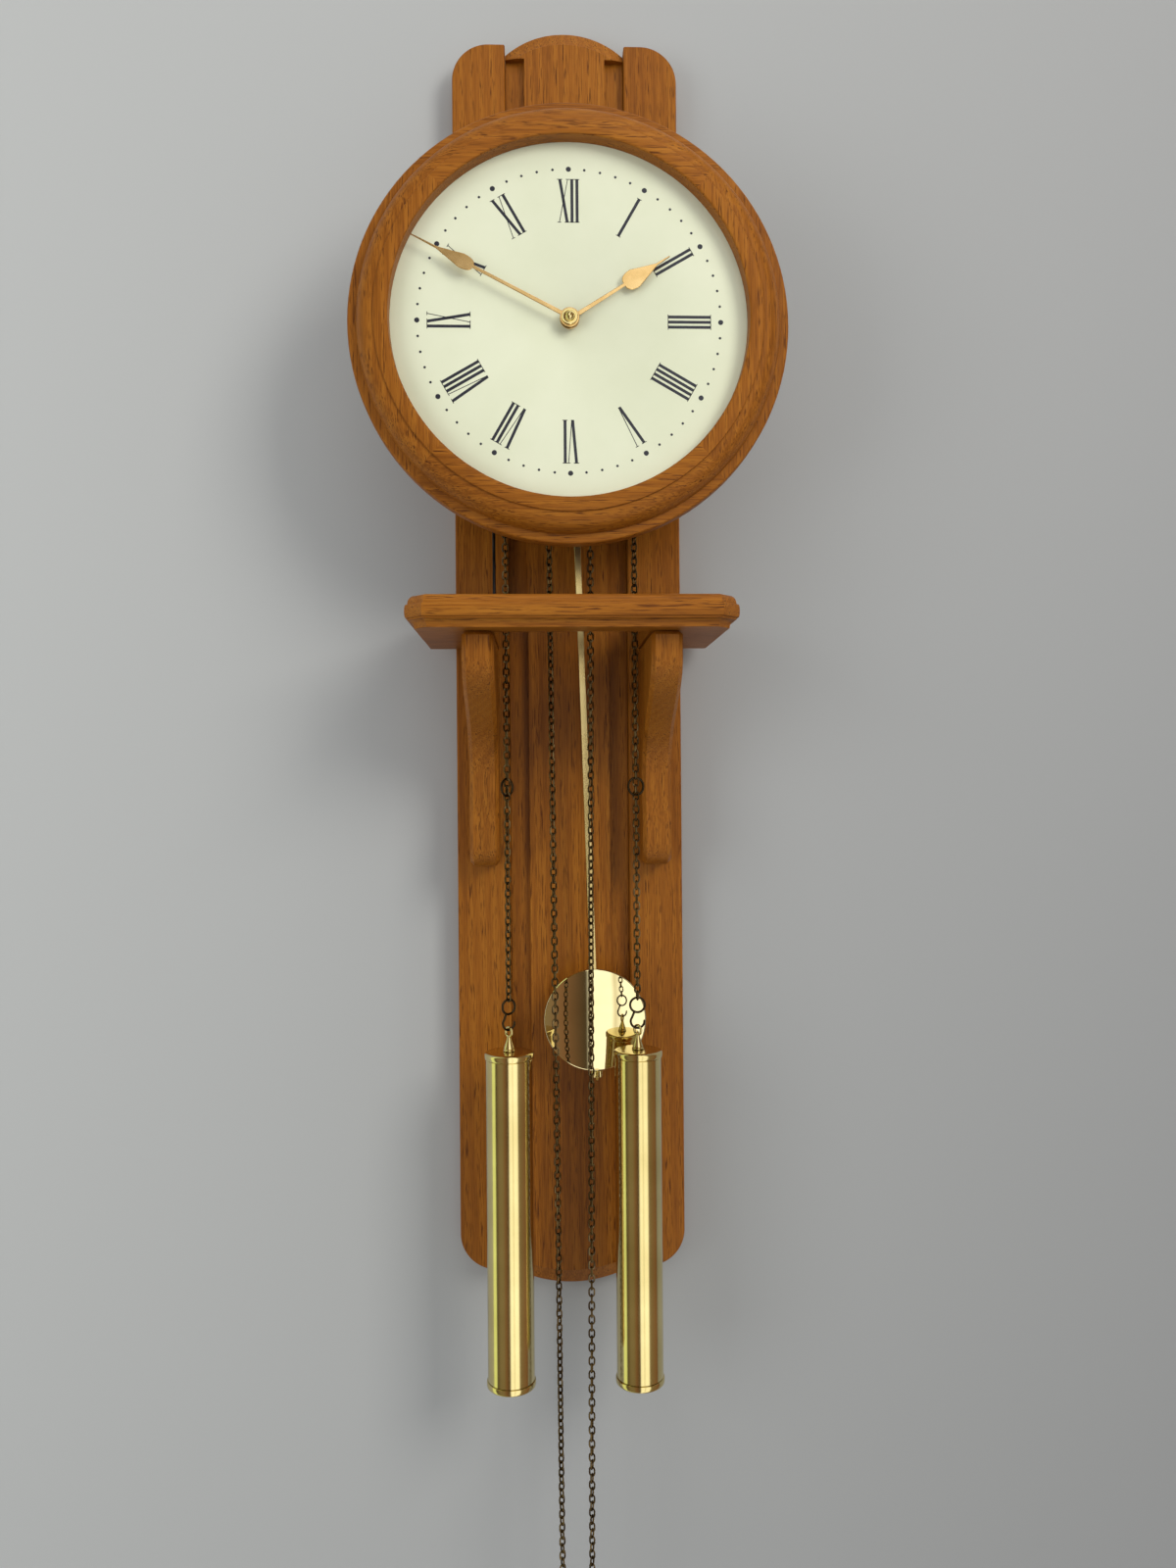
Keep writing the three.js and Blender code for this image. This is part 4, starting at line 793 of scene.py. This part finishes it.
END_RING, END_RING_WIRE, END_RING_IN, END_RING_Z = 9, 1.15, 6, -1090
WEIGHT_TOP, WEIGHT_LOW, WEIGHT_SIDES = -605.6, -891.6, 72
FERRULE = [(0, -592.9), (1.5, -593), (1.8, -593.6), (1.75, -594.4), (2.3, -596.2), (3.2, -598.8),
           (4.1, -601.4), (4.5, -603), (4.4, -603.7), (4.9, -604.1), (5.2, -604.5), (5.1, -605.1),
           (4.8, -605.3), (0, -605.3)]
# Radius and depth below the cap's outer face, then the spigot that fills the tube's mouth
CAP = [(0, 0), (17, 0), (18.6, 0.12), (20.0, 0.6), (20.8, 1.4), (21, 2.2), (21, 5.3), (20.7, 5.8), (20.2, 6),
       (18.5, 6), (18.5, 12), (0, 12)]
WEIGHT_TUBE = [(18.8, -611.9), (18.8, -885.3), (19.8, -885.3), (20, -885), (20, -612.2), (19.8, -611.9)]
# The turn of each train's first links in radians, and of its stop ring and hook in degrees
TRAINS = {
    "strike": {"side": -1, "run_turn": 0.35, "free_turn": 0.2, "stop_ring": 52, "hook": 35},
    "time": {"side": 1, "run_turn": 0.9, "free_turn": 1.25, "stop_ring": 25, "hook": 0},
}
RUN_TWIST, FREE_TWIST = -1.1, 2.6  # radians along a whole run


def link(bm, middle, along, turn):
    along = along.normalized()
    side = Vector((0, 1, 0)).cross(along).normalized()
    flat = side * math.cos(turn) + along.cross(side) * math.sin(turn)
    points = []
    for degrees in LINK_ANGLES:
        a = math.radians(degrees)
        straight = LINK_STRAIGHT if degrees < 180 else -LINK_STRAIGHT
        reach = straight + LINK_HALF * math.sin(a)
        points.append(middle + flat * (LINK_HALF * math.cos(a)) + along * reach)
    tube(bm, points, LINK_WIRE, 6, closed=True)


def chain(bm, top, bottom, turn, twist):
    """Links from top down to bottom, every second one turned a quarter."""
    run = bottom - top
    count = max(1, round(run.length / LINK_PITCH))
    for i in range(count):
        middle = top + run * ((i + 0.5) / count)
        link(bm, middle, run, turn + twist * i / count + (QUARTER if i % 2 else 0))


def chains(train, side, run_turn, free_turn):
    x = side * WEIGHT_X
    start = Vector((x, -CHAIN_OUT, SPROCKET_Z))
    bm = bmesh.new()
    chain(bm, start, Vector((x, -CHAIN_OUT, CHAIN_FOOT)), run_turn, RUN_TWIST)
    run = piece(train + "_chain_links", bm, BRONZE, None, [train + "_weight_chain"], sharp=60)
    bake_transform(run)

    start = Vector((side * FREE_X, -CHAIN_OUT, SPROCKET_Z))
    end = Vector((side * (FREE_X - FREE_LEAN), -CHAIN_OUT, FREE_FOOT))
    bm = bmesh.new()
    chain(bm, start, end, free_turn, FREE_TWIST)
    free = piece(train + "_free_links", bm, BRONZE, None, [train + "_free_chain"], sharp=60)
    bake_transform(free)

    bm = bmesh.new()
    for i in range(TURN_LINKS):
        a = math.pi * (i + 0.5) / TURN_LINKS
        c, s = math.cos(a), math.sin(a)
        spot = Vector((side * SPROCKET_X + CHAIN_RADIUS * c, -CHAIN_OUT, SPROCKET_Z + CHAIN_RADIUS * s))
        link(bm, spot, Vector((-s, 0, c)), QUARTER * (i % 2) + TURN_LINK_TWIST)
    piece(train + "_turn_links", bm, BRONZE, "root", sharp=60)


def rings_and_hook(train, side, stop_ring, hook):
    x, weight = side * WEIGHT_X, train + "_weight"
    bm = bmesh.new()
    hoop(bm, STOP_RING, WIRE, stop_ring, x, CHAIN_OUT, STOP_RING_Z)
    piece(train + "_stop_ring_wire", bm, DARK_WIRE, weight, [train + "_stop_ring"], sharp=60)

    bm = bmesh.new()
    hoop(bm, HOOK_RING, WIRE, hook, x, CHAIN_OUT, HOOK_RING_Z)
    spots = arc(0, HOOK_RING_Z, HOOK_RING, HOOK_LEAVE, HOOK_LEAVE, 1)[:1]
    spots += arc(0, HOOK_Z, HOOK, HOOK_FROM, HOOK_TO, 7)
    c, s = math.cos(math.radians(hook)), math.sin(math.radians(hook))
    line = spline([Vector((x + d * c, d * s - CHAIN_OUT, z)) for d, z in spots], 6)
    taper = [1.0] * (len(line) - len(HOOK_TAPER)) + HOOK_TAPER
    tube(bm, line, WIRE, 10, taper=taper)
    piece(train + "_hook_wire", bm, DARK_WIRE, weight, [train + "_s_hook"], sharp=60)

    bm = bmesh.new()
    hoop(bm, END_RING, END_RING_WIRE, 0, side * (FREE_X - END_RING_IN), CHAIN_OUT, END_RING_Z)
    piece(train + "_end_ring_wire", bm, DARK_WIRE, train + "_free_end", [train + "_end_ring"],
          sharp=60)


def hanging_weight(train, side):
    x, weight = side * WEIGHT_X, train + "_weight"
    axis = moved(x, -CHAIN_OUT, 0)
    bm = bmesh.new()
    hoop(bm, EYE, EYE_WIRE, EYE_TURN, x, CHAIN_OUT, EYE_Z)
    lathe(bm, FERRULE, 28, axis, closed=False)
    piece(train + "_eye_wire", bm, BRASS, weight, [train + "_weight_eye"], sharp=40)
    for sign, face_z, name in ((1, WEIGHT_TOP, "top"), (-1, WEIGHT_LOW, "bottom")):
        bm = bmesh.new()
        lathe(bm, [(r, face_z - sign * h) for r, h in CAP], WEIGHT_SIDES, axis, closed=False)
        piece(train + "_cap_" + name, bm, BRASS, weight,
              [train + "_weight_" + name + "_cap"])
    bm = bmesh.new()
    lathe(bm, WEIGHT_TUBE, WEIGHT_SIDES, axis)
    piece(train + "_tube_brass", bm, BRASS, weight, [train + "_weight_tube"])


for train, turns in TRAINS.items():
    chains(train, turns["side"], turns["run_turn"], turns["free_turn"])
    rings_and_hook(train, turns["side"], turns["stop_ring"], turns["hook"])
    hanging_weight(train, turns["side"])

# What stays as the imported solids
KEPT = {
    "hanger_plate": STEEL, "dial_board": CASE_OAK, "case_left_side": CASE_OAK, "case_right_side": CASE_OAK,
    "case_top": CASE_OAK, "seat_board": CASE_OAK, "gong_block": IRON, "gong_rod": BLACK_STEEL,
    "back_plate": MOVEMENT_BRASS, "front_plate": MOVEMENT_BRASS, "suspension_cock": MOVEMENT_BRASS,
    "time_great_wheel": MOVEMENT_BRASS, "strike_great_wheel": MOVEMENT_BRASS, "centre_wheel": MOVEMENT_BRASS,
    "third_wheel": MOVEMENT_BRASS, "escape_wheel": MOVEMENT_BRASS, "hammer": MOVEMENT_BRASS,
    "cannon_pinion": MOVEMENT_BRASS, "minute_wheel": MOVEMENT_BRASS, "hour_wheel": MOVEMENT_BRASS,
    "anchor_and_crutch": MOVEMENT_BRASS, "suspension_spring": STEEL, "time_sprocket": STEEL,
    "strike_sprocket": STEEL, "time_weight_core": IRON, "strike_weight_core": IRON,
}
WOOD_ARRIS, METAL_ARRIS = 0.8, 0.2
for name, material in KEPT.items():
    node = nodes[name]
    node.data.materials.clear()
    node.data.materials.append(material)
    weld = node.modifiers.new("weld", "WELD")
    weld.merge_threshold = 0.00002
    arrised(node, WOOD_ARRIS if material == CASE_OAK else METAL_ARRIS, 1)

# Wall, in metres: plain but for painted shade that makes it a little darker to the right, and clear when it
# is seen from behind
WALL_Y, WALL_HALF, WALL_LOW, WALL_HIGH, WALL_FADE = 0.003, 3, -2.2, 1.6, 0.6
# painted light and shade: the wall's colour is lighter on the left and darker on the right, standing in for
# how the room's light falls on it
WALL_PAINTED_LIGHT_LEFT, WALL_PAINTED_SHADE_RIGHT = (0.49, 0.495, 0.48), (0.325, 0.325, 0.32)


def wall():
    mesh = bpy.data.meshes.new("wall")
    corners = [(-WALL_HALF, WALL_Y, WALL_LOW), (WALL_HALF, WALL_Y, WALL_LOW), (WALL_HALF, WALL_Y, WALL_HIGH),
               (-WALL_HALF, WALL_Y, WALL_HIGH)]
    mesh.from_pydata(corners, [], [(0, 1, 2, 3)])
    made = link_object("wall", mesh)
    look = Look("wall", Roughness=0.9)
    across = look.node("SeparateXYZ", {0: look.coords}).outputs[0]
    inputs = {"Value": across, "From Min": -WALL_FADE, "From Max": WALL_FADE}
    share = look.node("MapRange", inputs).outputs[0]
    # painted shade across the wall, from the lighter left to the darker right
    look.set("Base Color", look.ramp(share, [(0, WALL_PAINTED_LIGHT_LEFT), (1, WALL_PAINTED_SHADE_RIGHT)]))
    clear = look.node("BsdfTransparent", {}).outputs[0]
    behind = look.node("NewGeometry", {}).outputs["Backfacing"]
    seen = look.node("MixShader", {0: behind, 1: look.shader.outputs[0], 2: clear})
    look.tree.links.new(seen.outputs[0], look.output.inputs[0])
    mesh.materials.append(look.material)
    made.visible_shadow = False


wall()


# Lamps: place, target and size in metres
def lamp(name, place, target, size, power, colour=(1, 1, 1)):
    light = bpy.data.lights.new(name, "AREA")
    light.shape = "RECTANGLE"
    light.size, light.size_y = size
    light.energy = power
    light.color = colour
    made = link_object(name, light)
    made.location = place
    made.visible_glossy = False
    made.rotation_mode = "QUATERNION"
    made.rotation_quaternion = (Vector(target) - Vector(place)).to_track_quat("-Z", "Y")


lamp("key", (1.5, -1.9, 0.9), (0, 0, -0.2), (0.9, 1.3), 36, (1, 0.985, 0.95))
lamp("fill", (-1.9, -1.7, -0.3), (0, 0, -0.3), (1.2, 2.0), 19, (0.97, 0.99, 1))
lamp("top", (0.1, -1.2, 1.7), (0, 0, -0.1), (1.6, 0.8), 8)
lamp("behind", (0, 2.4, 0.1), (0, 0, -0.3), (1.2, 1.6), 40)

# World: plain light, and for the brass a room to mirror, banded by the compass in degrees:
# 0 is straight out from the wall, positive to the right
PLAIN_COLOUR, PLAIN_STRENGTH, ROOM_STRENGTH = (0.9, 0.92, 0.95), 0.5, 1.5
DARK, DIM, WARM = (0.05, 0.035, 0.02), (0.17, 0.135, 0.08), (0.16, 0.085, 0.045)
WINDOW, SHADE, STRIP = (1.0, 0.98, 0.9), (0.62, 0.58, 0.46), (0.62, 0.7, 0.36)
ROOM = [(-180, DIM), (-120, DARK), (-97, DARK), (-92, STRIP), (-74, STRIP), (-69, DARK), (-52, DIM),
        (-34, DIM), (-22, WARM), (-4, DARK), (1, WINDOW), (14, WINDOW), (17, SHADE), (22, WINDOW),
        (40, WINDOW), (45, DIM), (80, WARM), (120, DARK), (180, DIM)]


def studio_world():
    world = bpy.data.worlds.new("studio")
    bpy.context.scene.world = world
    world.use_nodes = True
    tree = world.node_tree
    tree.nodes.clear()

    def node(kind, inputs, **settings):
        return add_node(tree, kind, inputs, **settings)

    way = node("SeparateXYZ", {0: node("TexCoord", {}).outputs["Generated"]})
    outward = node("Math", {0: way.outputs[1], 1: -1}, operation="MULTIPLY")
    compass = node("Math", {0: way.outputs[0], 1: outward.outputs[0]}, operation="ARCTAN2")
    share = node("MapRange", {"Value": compass.outputs[0], "From Min": -math.pi, "From Max": math.pi})
    bands = node("ValToRGB", {0: share.outputs[0]})
    fill_ramp(bands.color_ramp, [((degrees + 180) / 360, colour) for degrees, colour in ROOM])
    plain = node("Background", {0: (*PLAIN_COLOUR, 1), 1: PLAIN_STRENGTH})
    room = node("Background", {0: bands.outputs[0], 1: ROOM_STRENGTH})
    glossy = node("LightPath", {}).outputs["Is Glossy Ray"]
    mixed = node("MixShader", {0: glossy, 1: plain.outputs[0], 2: room.outputs[0]})
    node("OutputWorld", {0: mixed.outputs[0]})


studio_world()
bpy.context.scene.view_settings.view_transform = "Standard"
